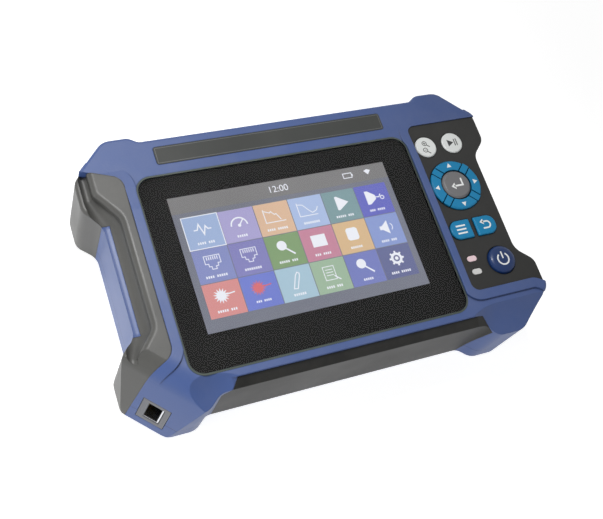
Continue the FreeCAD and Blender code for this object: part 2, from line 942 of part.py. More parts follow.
def underside_tools():
    """Recesses and holes below: feet, battery door, screws and the stand."""
    bottom = shell_bottom - overrun
    tools = []
    for x, y in foot_places():
        tools.append(prism(foot_outline(x, y), bottom, shell_bottom + foot_seat))
    reach = battery_door_length / 2 + seat_gap
    deep = battery_door_width / 2 + seat_gap
    door_top = shell_bottom + battery_door_thickness
    radius = battery_door_corner + seat_gap
    recess = rectangle(-reach, reach, battery_y - deep, battery_y + deep, radius)
    tools.append(prism(recess, bottom, door_top))
    half = battery_length / 2 + seat_gap
    deep = battery_width / 2 + seat_gap
    tools.append(block(-half, half, battery_y - deep, battery_y + deep, bottom, floor_z + overrun))
    for x, y in door_screw_places():
        tools.append(post(small_screw_radius + pin_seat_gap, x, y, bottom, floor_z - door_screw_skin))
    for x, y in case_screw_places():
        tools.append(post(case_screw_radius + pin_seat_gap, x, y, bottom, case_screw_top()))
        tools.append(post(case_head_radius + seat_gap, x, y, bottom, case_screw_low() + case_head_height))
    low, high, hinge_z = stand_levels()
    tools.append(prism(stand_outline(), bottom, high + stand_gap, stand_gap))
    reach = stand_half_width + stand_gap
    inner = stand_half_width - stand_arm - stand_gap
    for left, right in ((-reach, -inner), (inner, reach)):
        near = stand_hinge_y - stand_well_near
        far = stand_hinge_y + stand_well_far
        tools.append(block(left, right, near, far, bottom, high + stand_gap))
        tools.append(rod_x(stand_knuckle + stand_gap, left, right, stand_hinge_y, hinge_z))
    end = reach + stand_pin_overhang
    tools.append(rod_x(stand_pin_radius + pin_seat_gap, -end, end, stand_hinge_y, hinge_z))
    return tools


def foot_places():
    return [(x, y) for x in (-foot_x, foot_x) for y in (-foot_y, foot_y)]


def foot_outline(x, y):
    """Rubber pad with cut corners."""
    corners = []
    for side, end in ((-1, -1), (1, -1), (1, 1), (-1, 1)):
        level = (x + side * (foot_half_length - foot_bevel), y + end * foot_half_width, 0)
        upright = (x + side * foot_half_length, y + end * (foot_half_width - foot_bevel), 0)
        corners += [upright, level] if side == end else [level, upright]
    return corners


def door_screw_places():
    return [(x, battery_y) for x in (-door_screw_x, door_screw_x)]


def case_screw_places():
    return [(x, y) for x in (-case_screw_x, case_screw_x) for y in (-case_screw_y, case_screw_y)]


def case_screw_low():
    return shell_bottom + case_head_sink


def case_screw_top():
    return case_screw_low() + case_head_height + case_screw_length


def board_post_places():
    left = cavity_left + post_inset
    right = cavity_split - post_inset
    near = cavity_near + post_inset
    far = cavity_far - post_inset
    return [(left, far), (right, far), (right, near), (left + cavity_socket_cut, near)]


def make_shells():
    body = case_block(deck_z).cut(scoops()).cut(bar_slope())
    body = joined([body] + raised_bands())
    tools = [left_grip_zone(), right_grip_zone(), bar_zone(), cavity()]
    tools += [tool.common(waist_strip()) for tool in finger_channel()]
    tools.append(prism(glass_outline(gasket_width), glass_bottom, band_z + overrun))
    tools.append(prism(strip_outline(trim_gap), deck_z - strip_thickness, band_z + overrun))
    tools.append(on_face(insert_box(hinge_gap, -insert_thickness, beyond)))
    tools.append(on_face(insert_box(seat_gap, -insert_thickness - housing_depth, 0)))
    tools += port_tools() + underside_tools()
    for tool in tools:
        body = body.cut(tool)
    half = post_half_width
    posts = []
    for x, y in board_post_places():
        posts.append(block(x - half, x + half, y - half, y + half, board_top, ceiling_z))
    body = body.fuse(posts)
    above = block(-case_length, case_length, -case_depth, case_depth, parting_z, 2 * deck_z)
    below = block(-case_length, case_length, -case_depth, case_depth, 0, parting_z)
    return body.common(above), body.common(below)


def make_bar():
    return case_block(deck_z).cut(scoops()).cut(bar_slope()).common(bar_zone())


def make_key(profile, rise, skirted=True, edge=key_edge):
    """Key cap on its profile wire, with a skirt under the panel that holds it in."""
    top = panel_z + rise
    cap = Part.Face(profile).extrude(Vector(0, 0, top - skirt_bottom))
    cap = cap.makeChamfer(edge, level_edges(cap, top))
    if not skirted:
        return cap
    skirt = Part.Face(profile.makeOffset2D(key_skirt)).extrude(Vector(0, 0, skirt_height))
    return joined([cap, skirt.common(skirt_room())])


def skirt_room():
    """Room for the skirts inside the key well."""
    return prism(key_well_outline(), mat_top, panel_bottom, -skirt_gap)


def circle_wire(radius, x, y, z):
    return Part.Wire(Part.makeCircle(radius, Vector(x, y, z)))


def make_round_key(radius, x, y, rise, edge=key_edge, skirted=True):
    return make_key(circle_wire(radius, x, y, skirt_bottom), rise, skirted, edge)


def diagonal_bars(width):
    """Two bars crossing at the ring's centre, along its diagonals."""
    reach = 2 * ring_outer
    bars = []
    for angle in (45, 135):
        bar = block(-reach, reach, -width / 2, width / 2, 0, 2 * deck_z)
        bar.rotate(Vector(0, 0, 0), Vector(0, 0, 1), angle)
        bar.translate(Vector(keypad_x, ring_y, 0))
        bars.append(bar)
    return joined(bars)


def make_ring_keys():
    """Four arc keys of the direction ring, in the order right, up, left, down."""

    def turn(piece):
        centre = piece.CenterOfMass
        return math.atan2(centre.y - ring_y, centre.x - keypad_x) % (2 * math.pi)

    top = panel_z + ring_rise
    disc = post(ring_outer, keypad_x, ring_y, skirt_bottom, top)
    disc = disc.makeChamfer(ring_edge, level_edges(disc, top))
    ring = disc.cut(post(ring_inner, keypad_x, ring_y, 0, 2 * deck_z))
    skirt = post(ring_outer + key_skirt, keypad_x, ring_y, skirt_bottom, skirt_bottom + skirt_height)
    skirt = skirt.cut(post(ring_inner, keypad_x, ring_y, 0, 2 * deck_z)).common(skirt_room())
    gaps = diagonal_bars(divider_width + 2 * divider_groove)
    pieces = joined([ring, skirt]).cut(gaps).Solids
    return sorted(pieces, key=turn)


def make_ring_dividers():
    """Fixed wedges between the arc keys, standing on the mat."""
    top = panel_z + ring_rise - divider_drop
    ring = post(ring_outer, keypad_x, ring_y, mat_top, top)
    ring = ring.cut(post(ring_inner, keypad_x, ring_y, 0, 2 * deck_z))
    return ring.common(diagonal_bars(divider_width))


def make_door(x):
    """Port door: a plate hanging from a knuckle on its pin."""
    place = door_place()
    left = x - door_half_width
    right = x + door_half_width
    inner_y = place["outer_y"] - door_thickness
    plate = block(left, right, inner_y, place["outer_y"], port_z - door_drop, place["hinge_z"])
    corners = [e for e in plate.Edges if e.BoundBox.YLength > 1 and e.BoundBox.ZMax < port_z]
    plate = plate.makeFillet(door_corner, corners)
    low = port_z - door_drop + nail_lip_rise
    high = low + nail_lip_height
    lip_y = place["outer_y"]
    lip = block(x - nail_lip / 2, x + nail_lip / 2, lip_y - nail_lip_root, lip_y + nail_lip_proud, low, high)
    knuckle = rod_x(knuckle_radius, left, right, place["hinge_y"], place["hinge_z"])
    bore_radius = door_pin_radius + hinge_gap
    bore = rod_x(bore_radius, left - overrun, right + overrun, place["hinge_y"], place["hinge_z"])
    return joined([plate, knuckle, lip]).cut(bore)


def make_adapter(x):
    """Fibre adapter: flange on the well floor, barrel, rear stub and the ferrule bore."""
    floor_y = far_face_y - well_depth
    front = floor_y + flange_thickness + barrel_length
    pieces = [
        rod_y(flange_radius, floor_y, floor_y + flange_thickness, x, port_z),
        rod_y(barrel_radius, floor_y, front, x, port_z),
        rod_y(stub_radius, floor_y - stub_length, floor_y, x, port_z),
    ]
    body = joined(pieces)
    slot_low = port_z + barrel_radius - keyway_depth
    slot = block(x - keyway_width / 2, x + keyway_width / 2, front - keyway_length, front + overrun,
                 slot_low, port_z + well_radius)
    return body.cut(slot).cut(rod_y(ferrule_radius, front - ferrule_depth, front + overrun, x, port_z))


def make_charge_socket():
    floor_y = far_face_y - well_depth
    front = floor_y + charge_proud
    reach = charge_width / 2
    rise = charge_height / 2
    back = front - charge_length
    outer = block(charge_x - reach, charge_x + reach, back, front, port_z - rise, port_z + rise)
    outer = outer.makeFillet(charge_corner, [e for e in outer.Edges if e.BoundBox.YLength > 5])
    reach -= charge_wall
    rise -= charge_wall
    end = front - charge_slot_depth
    low = port_z - rise
    high = port_z + rise
    slot = block(charge_x - reach, charge_x + reach, end, front + overrun, low, high)
    reach = charge_tongue_width / 2
    rise = charge_tongue_height / 2
    low = port_z - rise
    high = port_z + rise
    tongue_front = front - charge_tongue_setback
    tongue = block(charge_x - reach, charge_x + reach, end, tongue_front, low, high)
    return outer.cut(slot.cut(tongue))


def make_network_insert():
    plate = insert_box(0, -insert_thickness, 0)
    return on_face(plate.cut(socket_box(-beyond, beyond)))


def make_network_jack():
    """Socket body behind the insert, with the plug's hollow open to the corner face."""
    front = -insert_thickness
    body = insert_box(0, front - housing_depth, front)
    hollow = socket_box(front - socket_depth, front)
    inner_u = socket_u + socket_shift_u + socket_width / 2 - latch_bite
    outer_u = socket_u + insert_width / 2 - latch_skin
    rise = latch_width / 2
    latch = block(inner_u, outer_u, socket_v - rise, socket_v + rise, front - socket_depth, front)
    return on_face(body.cut(hollow).cut(latch))


def make_contacts():
    """Eight spring contacts standing on one wall of the socket."""
    front = -insert_thickness
    wall_u = socket_u + socket_shift_u - socket_width / 2
    root = front - contact_setback
    bend = front - socket_depth + contact_setback
    contacts = []
    for i in range(contact_count):
        v = socket_v + (i - (contact_count - 1) / 2) * contact_pitch
        low = v - contact_size / 2
        points = [
            Vector(wall_u, low, root),
            Vector(wall_u, low, root - contact_root),
            Vector(wall_u + contact_reach, low, bend),
            Vector(wall_u + contact_reach + contact_tip_rise, low, bend + contact_tip_length),
        ]
        contacts.append(Part.Face(Part.makePolygon(points + points[:1])).extrude(Vector(0, contact_size, 0)))
    return on_face(Part.makeCompound(contacts))


def make_screws(places, head_radius, head_height, radius, low, top):
    screws = []
    for x, y in places:
        head = post(head_radius, x, y, low, low + head_height)
        shank = post(radius, x, y, low + head_height, top)
        screws.append(joined([head, shank]))
    return Part.makeCompound(screws)


def make_battery_door():
    reach = battery_door_length / 2
    deep = battery_door_width / 2
    outline = rectangle(-reach, reach, battery_y - deep, battery_y + deep, battery_door_corner)
    door = prism(outline, shell_bottom, shell_bottom + battery_door_thickness)
    for x, y in door_screw_places():
        door = door.cut(post(small_screw_radius + seat_gap, x, y, 0, deck_z))
        door = door.cut(post(small_head_radius + seat_gap, x, y, 0, shell_bottom + small_head_height))
    grip_y = battery_y + deep - finger_notch_inset
    notch = block(-finger_notch / 2, finger_notch / 2, grip_y, grip_y + finger_notch_width,
                  0, shell_bottom + finger_notch_depth)
    return door.cut(notch)


def make_stand():
    low, high, hinge_z = stand_levels()
    body = prism(stand_outline(), low, high)
    inner = stand_half_width - stand_arm
    knuckles = []
    for left, right in ((-stand_half_width, -inner), (inner, stand_half_width)):
        knuckles.append(rod_x(stand_knuckle, left, right, stand_hinge_y, hinge_z))
    body = joined([body] + knuckles)
    reach = stand_half_width + overrun
    return body.cut(rod_x(stand_pin_radius + hinge_gap, -reach, reach, stand_hinge_y, hinge_z))


def make_main_board():
    left = cavity_left + board_inset
    right = cavity_split - board_inset
    near = cavity_near + board_inset
    far = cavity_far - board_inset
    corners = [
        (left, near + cavity_socket_cut, board_corner),
        (left + cavity_socket_cut, near, board_corner),
        (right, near, board_corner),
        (right, far, board_corner),
        (left, far, board_corner),
    ]
    return prism(corners, board_bottom, board_top)


def main():
    os.makedirs("parts", exist_ok=True)
    front_shell, rear_shell = make_shells()
    save("front_shell", front_shell)
    save("rear_shell", rear_shell)
    save("left_grip", make_left_grip())
    save("keypad_grip", make_right_grip())
    save("near_bumper_bar", make_bar())
    save("name_strip", prism(strip_outline(), deck_z - strip_thickness, deck_z + strip_proud))
    save("screen_glass", prism(glass_outline(), glass_bottom, glass_top))
    gasket = prism(glass_outline(gasket_width), glass_bottom, glass_top - gasket_drop)
    save("screen_gasket", gasket.cut(prism(glass_outline(), 0, 2 * deck_z)))
    save("display_module", prism(lcd_outline(), lcd_bottom, glass_bottom))

    for name, side in (("key_zoom", -1), ("key_run", 1)):
        x = keypad_x + side * small_key_offset
        save(name, make_round_key(small_key_radius, x, small_key_y, small_key_rise))
    for name, piece in zip(("key_right", "key_up", "key_left", "key_down"), make_ring_keys()):
        save(name, piece)
    save("ring_dividers", make_ring_dividers())
    save("key_enter", make_round_key(enter_radius, keypad_x, ring_y, enter_rise, enter_edge, False))
    for name, side in (("key_menu", -1), ("key_back", 1)):
        save(name, make_key(rounded_loop(soft_key_outline(side), skirt_bottom), soft_key_rise))
    save("key_power", make_round_key(power_radius, keypad_x + power_offset, power_y, power_rise, power_edge))
    lenses = []
    for y in (lens_near_y, lens_far_y):
        lenses.append(prism(lens_outline(y), mat_top, panel_z + lens_proud, -trim_gap))
    save("status_lenses", Part.makeCompound(lenses))
    save("keypad_mat", prism(key_well_outline(), mat_bottom, mat_top, -seat_gap))
    board = keypad_side_outline(key_well_left)
    save("keypad_board", prism(board, mat_bottom - board_thickness, mat_bottom, -seat_gap))

    save("network_insert", make_network_insert())
    save("network_jack", make_network_jack())
    save("jack_contacts", make_contacts())
    for name, x in port_xs.items():
        save(name + "_adapter", make_adapter(x))
        save(name + "_door", make_door(x))
    save("charge_socket", make_charge_socket())
    save("charge_door", make_door(charge_x))
    pins = []
    for x in list(port_xs.values()) + [charge_x]:
        place = door_place()
        end = door_half_width + door_gap + door_pin_overhang
        pins.append(rod_x(door_pin_radius, x - end, x + end, place["hinge_y"], place["hinge_z"]))
    save("door_pins", Part.makeCompound(pins))

    save("main_board", make_main_board())
    stub_end = far_face_y - well_depth - stub_length
    module_far = stub_end - seat_gap
    module_near = module_far - module_depth
    module_top = board_bottom - module_headroom
    module = block(module_left, module_right, module_near, module_far, floor_z, module_top)
    save("optical_module", module)
    coil = post(coil_outer, coil_x, coil_y, board_bottom - coil_height, board_bottom)
    save("fibre_coil", coil.cut(post(coil_inner, coil_x, coil_y, 0, deck_z)))
    door_top = shell_bottom + battery_door_thickness
    half = battery_length / 2
    deep = battery_width / 2
    battery = block(-half, half, battery_y - deep, battery_y + deep, door_top, door_top + battery_height)
    long_edges = [e for e in battery.Edges if e.BoundBox.XLength > battery_width]
    save("battery_pack", battery.makeFillet(battery_round, long_edges))
    save("battery_door", make_battery_door())

    save("door_screws", make_screws(door_screw_places(), small_head_radius, small_head_height,
                                    small_screw_radius, shell_bottom, floor_z - door_screw_skin))
    save("case_screws", make_screws(case_screw_places(), case_head_radius, case_head_height,
                                    case_screw_radius, case_screw_low(), case_screw_top()))
    feet = [prism(foot_outline(x, y), 0, shell_bottom + foot_seat) for x, y in foot_places()]
    save("feet", Part.makeCompound(feet))
    save("stand", make_stand())
    hinge_z = stand_levels()[2]
    end = stand_half_width + stand_gap + stand_pin_overhang
    save("stand_pin", rod_x(stand_pin_radius, -end, end, stand_hinge_y, hinge_z))


main()
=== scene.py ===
import math

import bmesh
import bpy
from mathutils import Matrix, Quaternion, Vector


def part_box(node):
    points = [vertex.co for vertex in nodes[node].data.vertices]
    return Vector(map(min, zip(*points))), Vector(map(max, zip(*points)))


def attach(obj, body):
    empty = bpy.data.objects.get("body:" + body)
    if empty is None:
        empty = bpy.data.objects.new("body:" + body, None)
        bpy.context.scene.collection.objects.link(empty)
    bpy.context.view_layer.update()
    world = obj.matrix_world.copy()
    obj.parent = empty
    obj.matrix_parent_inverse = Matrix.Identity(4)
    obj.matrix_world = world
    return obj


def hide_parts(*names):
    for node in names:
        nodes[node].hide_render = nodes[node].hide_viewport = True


# Looks of a handheld optical time domain reflectometer, in metres.
# +X runs to the right along the screen, +Y away from the user, +Z up.

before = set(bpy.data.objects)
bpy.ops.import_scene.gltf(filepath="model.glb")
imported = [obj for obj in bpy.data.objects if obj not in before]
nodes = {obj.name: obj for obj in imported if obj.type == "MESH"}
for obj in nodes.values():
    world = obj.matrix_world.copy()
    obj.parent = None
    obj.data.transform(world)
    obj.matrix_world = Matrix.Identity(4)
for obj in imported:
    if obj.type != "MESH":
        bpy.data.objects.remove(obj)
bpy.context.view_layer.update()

MM = 0.001

# Camera at the photograph's viewing angle
CAMERA_PLACE = Vector((-172.0, -144.6, 420.0)) * MM
CAMERA_HEADING = math.radians(49.53)
CAMERA_ELEVATION = math.radians(61.05)
CAMERA_ROLL = math.radians(33.96)
CAMERA_LENS = 57.35

# Lamps, each with the place it stands at and the place it points at
KEY_SPOT_PLACE = Vector((-0.14, 0.30, 0.85))
KEY_SPOT_AIM = Vector((-0.10, 0.0, 0.04))
KEY_SPOT_CONE = math.radians(41.0)
KEY_SPOT_RADIUS = 0.08
KEY_SPOT_POWER = 24.0
SIDE_LAMP_PLACE = Vector((-0.72, -0.26, 0.16))
SIDE_LAMP_AIM = Vector((-0.08, -0.02, 0.02))
SIDE_LAMP_WIDTH = 0.5
SIDE_LAMP_POWER = 3.4

# World and floor: the glow lights the object, and the shine is what the background shows
WORLD_GLOW = 0.17
WORLD_SHINE = 1.0
FLOOR_GLOW = 0.46
FLOOR_SHINE = 0.86
FLOOR_GREY = (0.60, 0.60, 0.60, 1.0)
FLOOR_REACH = 6.0

# Layers of the screen picture, counted up from the underside of the cover glass
LAYER = 0.02 * MM
BACKGROUND_LEVEL = 1
STATUS_BAR_LEVEL = 2
TILE_LEVEL = 3
PICTOGRAM_LEVEL = 4
INK_LEVEL = 6
INK_LAYERS = 2

# Screen picture, measured from the middle of the display
DISPLAY_WIDTH = 108.0 * MM
DISPLAY_HEIGHT = 64.8 * MM
BACKGROUND_MARGIN = 1.0 * MM
TILE_WIDTH = 17.0 * MM
TILE_HEIGHT = 16.2 * MM
TILES_LEFT = -50.7 * MM
TILES_TOP = 21.8 * MM
TILE_GAP = 0.35 * MM
PICTOGRAM_LIFT = 1.2 * MM
PICTOGRAM_SCALE = 1.12 * MM
SELECTION_WIDTH = 0.4 * MM
STATUS_BAR_LOW = 24.2 * MM
CLOCK_PLACE = Vector((-2.0, 26.6)) * MM
CLOCK_SIZE = 4.6 * MM
SIGNS_PLACE = Vector((34.0, 28.4)) * MM

# Rows of blocks under the pictograms, in millimetres from a tile's middle
BLOCK_LOW = -6.3
BLOCK_HIGH = -5.3
BLOCK_WIDTH = 0.58
BLOCK_PITCH = 0.9
BLOCK_COUNTS = [(4, 3), (5,), (4, 5), (8,), (5, 3), (3, 4), (6,)]

# Black ink under the rim of the cover glass
INK_INSET = 0.25 * MM
INK_CORNER_RADIUS = 6.3 * MM
INK_OPENING_RADIUS = 0.2 * MM

# Printed marks: thickness and how far they are let in, then drawn sizes in millimetres
MARK_THICKNESS = 0.03 * MM
MARK_SINK = 0.01 * MM
ARROW_TIP = 11.9
ARROW_BASE = 9.7
ARROW_HALF_WIDTH = 1.25
STRIP_BORDER_INSET = 0.7
STRIP_BORDER_WIDTH = 0.22

# Domed cap of the power key: radius and height in millimetres, from its axis and its top
POWER_DOME = [(0.0, 0.0), (3.7, 0.0), (5.0, -0.12), (6.0, -0.42), (6.7, -0.95), (7.05, -1.7), (7.1, -2.4)]
POWER_DOME_DROP = 0.05 * MM
POWER_FLANGE_HEIGHT = 0.8 * MM

# Leaning face with the network socket
FACE_LEAN = math.radians(14.0)
SOCKET_SHIFT = 0.3 * MM
SOCKET_WIDTH = 7.6 * MM
SOCKET_HEIGHT = 11.8 * MM
SHIELD_THICKNESS = 0.7 * MM
SHIELD_INSET = 0.35 * MM
SHIELD_DEPTH = 9.0 * MM
SHIELD_FRONT = 0.9 * MM

# Painted shade of the cross recesses in the screws underneath; radii, reaches and width in millimetres
CASE_SCREW_RADIUS = 2.9
CASE_CROSS_REACH = 2.0
DOOR_SCREW_RADIUS = 2.1
DOOR_CROSS_REACH = 1.4
CROSS_WIDTH = 0.7
CROSS_TURN = math.radians(20)
CROSS_RISE = 0.02 * MM
CROSS_DEPTH = 0.1 * MM

# Moulded finishes: factors that turn a piece's colour into that of rubbed edges, painted shade along edges
# and in creases, and the seam
RUBBED = 1.7
EDGE_SHADE_FACTOR = 0.2
CREASE_SHADE_FACTOR = 0.25
PARTED = 0.45
SEAM_WIDTH = 0.22 * MM
ROUGHNESS_SPREAD = 0.12
COAT_ROUGHNESS = 0.12


def paint(red, green, blue):
    """Linear colour of an 8-bit screen colour."""
    def channel(value):
        value /= 255
        return value / 12.92 if value <= 0.04045 else ((value + 0.055) / 1.055) ** 2.4
    return (channel(red), channel(green), channel(blue), 1.0)


def shaded(colour, factor):
    return tuple(min(1.0, c * factor) for c in colour[:3]) + (1.0,)


def middle(node):
    low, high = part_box(node)
    return (low + high) / 2


# Shader node groups

def new_group(name, inputs, outputs):
    """Shader group with named sockets; inputs are (name, type, default)."""
    tree = bpy.data.node_groups.new(name, "ShaderNodeTree")
    for label, kind, default in inputs:
        socket = tree.interface.new_socket(label, in_out="INPUT", socket_type=kind)
        if default is not None:
            socket.default_value = default
    for label, kind in outputs:
        tree.interface.new_socket(label, in_out="OUTPUT", socket_type=kind)
    start = tree.nodes.new("NodeGroupInput")
    end = tree.nodes.new("NodeGroupOutput")
    return tree, start, end


def add(tree, kind, values=None, **settings):
    """Node of a kind; settings are its properties and values its input defaults."""
    node = tree.nodes.new(kind)
    for key, value in settings.items():
        setattr(node, key, value)
    for key, value in (values or {}).items():
        node.inputs[key].default_value = value
    return node


def moulded_grain_group():
    """Fine spark-eroded grain and slow colour drift of moulded plastic or rubber."""
    tree, start, end = new_group("moulded_grain", [
        ("Position", "NodeSocketVector", None),
        ("Grain Size", "NodeSocketFloat", 1600.0),
        ("Drift Size", "NodeSocketFloat", 18.0),
    ], [("Height", "NodeSocketFloat"), ("Drift", "NodeSocketFloat")])
    fine = add(tree, "ShaderNodeTexNoise", {"Detail": 3.0, "Roughness": 0.6})
    cells = add(tree, "ShaderNodeTexVoronoi", feature="SMOOTH_F1")
    slow = add(tree, "ShaderNodeTexNoise", {"Detail": 4.0, "Roughness": 0.55})
    blend = add(tree, "ShaderNodeMath", operation="ADD")
    half = add(tree, "ShaderNodeMath", {1: 0.5}, operation="MULTIPLY")
    for texture in (fine, cells):
        tree.links.new(start.outputs["Position"], texture.inputs["Vector"])
        tree.links.new(start.outputs["Grain Size"], texture.inputs["Scale"])
    tree.links.new(start.outputs["Position"], slow.inputs["Vector"])
    tree.links.new(start.outputs["Drift Size"], slow.inputs["Scale"])
    tree.links.new(fine.outputs["Fac"], blend.inputs[0])
    tree.links.new(cells.outputs["Distance"], blend.inputs[1])
    tree.links.new(blend.outputs[0], half.inputs[0])
    tree.links.new(half.outputs[0], end.inputs["Height"])
    tree.links.new(slow.outputs["Fac"], end.inputs["Drift"])
    return tree


def edge_group():
    """Softened edges, a mask of where hands rub them, and an outline of all sharp edges for painted edge
    shade.
    """
    tree, start, end = new_group("worn_edges", [
        ("Position", "NodeSocketVector", None),
        ("Radius", "NodeSocketFloat", 0.0006),
        ("Patchiness", "NodeSocketFloat", 90.0),
    ], [("Normal", "NodeSocketVector"), ("Mask", "NodeSocketFloat"), ("Outline", "NodeSocketFloat")])
    soft = add(tree, "ShaderNodeBevel", samples=4)
    surface = add(tree, "ShaderNodeNewGeometry")
    turned = add(tree, "ShaderNodeVectorMath", operation="DOT_PRODUCT")
    ramp = add(tree, "ShaderNodeMapRange", {"From Min": 0.97, "From Max": 0.80})
    patches = add(tree, "ShaderNodeTexNoise", {"Detail": 5.0, "Roughness": 0.7})
    gate = add(tree, "ShaderNodeMapRange", {"From Min": 0.42, "From Max": 0.62})
    both = add(tree, "ShaderNodeMath", operation="MULTIPLY")
    tree.links.new(start.outputs["Radius"], soft.inputs["Radius"])
    tree.links.new(soft.outputs["Normal"], turned.inputs[0])
    tree.links.new(surface.outputs["True Normal"], turned.inputs[1])
    tree.links.new(turned.outputs["Value"], ramp.inputs["Value"])
    tree.links.new(start.outputs["Position"], patches.inputs["Vector"])
    tree.links.new(start.outputs["Patchiness"], patches.inputs["Scale"])
    tree.links.new(patches.outputs["Fac"], gate.inputs["Value"])
    tree.links.new(ramp.outputs["Result"], both.inputs[0])
    tree.links.new(gate.outputs["Result"], both.inputs[1])
    tree.links.new(soft.outputs["Normal"], end.inputs["Normal"])
    tree.links.new(both.outputs[0], end.inputs["Mask"])
    # Outline: every sharp edge, used for painted shade along edges and seams
    tree.links.new(ramp.outputs["Result"], end.inputs["Outline"])
    return tree


def dust_group():
    """Thin dust film that settles on surfaces facing up."""
    tree, start, end = new_group("dust_film", [
        ("Position", "NodeSocketVector", None),
        ("Amount", "NodeSocketFloat", 0.1),
    ], [("Mask", "NodeSocketFloat")])
    surface = add(tree, "ShaderNodeNewGeometry")
    parts = add(tree, "ShaderNodeSeparateXYZ")
    patches = add(tree, "ShaderNodeTexNoise", {"Scale": 60.0, "Detail": 6.0, "Roughness": 0.65})
    upward = add(tree, "ShaderNodeMapRange", {"From Min": 0.3, "From Max": 1.0})
    cloud = add(tree, "ShaderNodeMapRange", {"From Min": 0.35, "From Max": 0.75})
    product = add(tree, "ShaderNodeMath", operation="MULTIPLY")
    share = add(tree, "ShaderNodeMath", operation="MULTIPLY")
    tree.links.new(surface.outputs["Normal"], parts.inputs[0])
    tree.links.new(parts.outputs["Z"], upward.inputs["Value"])
    tree.links.new(start.outputs["Position"], patches.inputs["Vector"])
    tree.links.new(patches.outputs["Fac"], cloud.inputs["Value"])
    tree.links.new(upward.outputs["Result"], product.inputs[0])
    tree.links.new(cloud.outputs["Result"], product.inputs[1])
    tree.links.new(product.outputs[0], share.inputs[0])
    tree.links.new(start.outputs["Amount"], share.inputs[1])
    tree.links.new(share.outputs[0], end.inputs["Mask"])
    return tree


def crease_shade_group():
    """Painted shade that gathers in grooves, steps and seams, darker where ambient occlusion finds nearby
    surfaces.
    """
    tree, start, end = new_group("painted_crease_shade", [
        ("Reach", "NodeSocketFloat", 0.0012),
        ("Amount", "NodeSocketFloat", 0.5),
    ], [("Mask", "NodeSocketFloat")])
    closed = add(tree, "ShaderNodeAmbientOcclusion", samples=6)
    depth = add(tree, "ShaderNodeMapRange", {"From Min": 0.85, "From Max": 0.40})
    share = add(tree, "ShaderNodeMath", operation="MULTIPLY")
    tree.links.new(start.outputs["Reach"], closed.inputs["Distance"])
    tree.links.new(closed.outputs["AO"], depth.inputs["Value"])
    tree.links.new(depth.outputs["Result"], share.inputs[0])
    tree.links.new(start.outputs["Amount"], share.inputs[1])
    tree.links.new(share.outputs[0], end.inputs["Mask"])
    return tree


def seam_group():
    """Thin dark line round the case where its two shells meet."""
    tree, start, end = new_group("parting_seam", [
        ("Position", "NodeSocketVector", None),
        ("Level", "NodeSocketFloat", 0.012),
    ], [("Mask", "NodeSocketFloat")])
    parts = add(tree, "ShaderNodeSeparateXYZ")
    above = add(tree, "ShaderNodeMath", operation="SUBTRACT")
    away = add(tree, "ShaderNodeMath", operation="ABSOLUTE")
    line = add(tree, "ShaderNodeMapRange", {"From Min": SEAM_WIDTH, "From Max": SEAM_WIDTH / 2})
    tree.links.new(start.outputs["Position"], parts.inputs[0])
    tree.links.new(parts.outputs["Z"], above.inputs[0])
    tree.links.new(start.outputs["Level"], above.inputs[1])
    tree.links.new(above.outputs[0], away.inputs[0])
    tree.links.new(away.outputs[0], line.inputs["Value"])
    tree.links.new(line.outputs["Result"], end.inputs["Mask"])
    return tree


DUST_COLOUR = paint(176, 172, 164)
GRAIN = moulded_grain_group()
EDGES = edge_group()
DUST = dust_group()
CREASE_SHADE = crease_shade_group()
SEAM = seam_group()


def placed_group(tree, group, position=None, **values):
    """A group in a material, with its position and its own input values."""
    node = add(tree, "ShaderNodeGroup", node_tree=group)
    if position:
        tree.links.new(position, node.inputs["Position"])
    for key, value in values.items():
        node.inputs[key.replace("_", " ").title()].default_value = value
    return node


def mixed(tree, factor, first, second):
    """Colour mix; first and second are sockets or plain colours."""
    node = add(tree, "ShaderNodeMix", data_type="RGBA")
    tree.links.new(factor, node.inputs["Factor"])
    ends = [socket for socket in node.inputs if socket.type == "RGBA"]
    for value, socket in zip((first, second), ends):
        if isinstance(value, tuple):
            socket.default_value = value
        else:
            tree.links.new(value, socket)
    return next(socket for socket in node.outputs if socket.type == "RGBA")


def new_material(name, constants):
    """Material with constants set on the sockets of its Principled shader."""
    material = bpy.data.materials.new(name)
    material.use_nodes = True
    tree = material.node_tree
    shader = tree.nodes["Principled BSDF"]
    for key, value in constants.items():
        shader.inputs[key].default_value = value
    return material, tree, shader


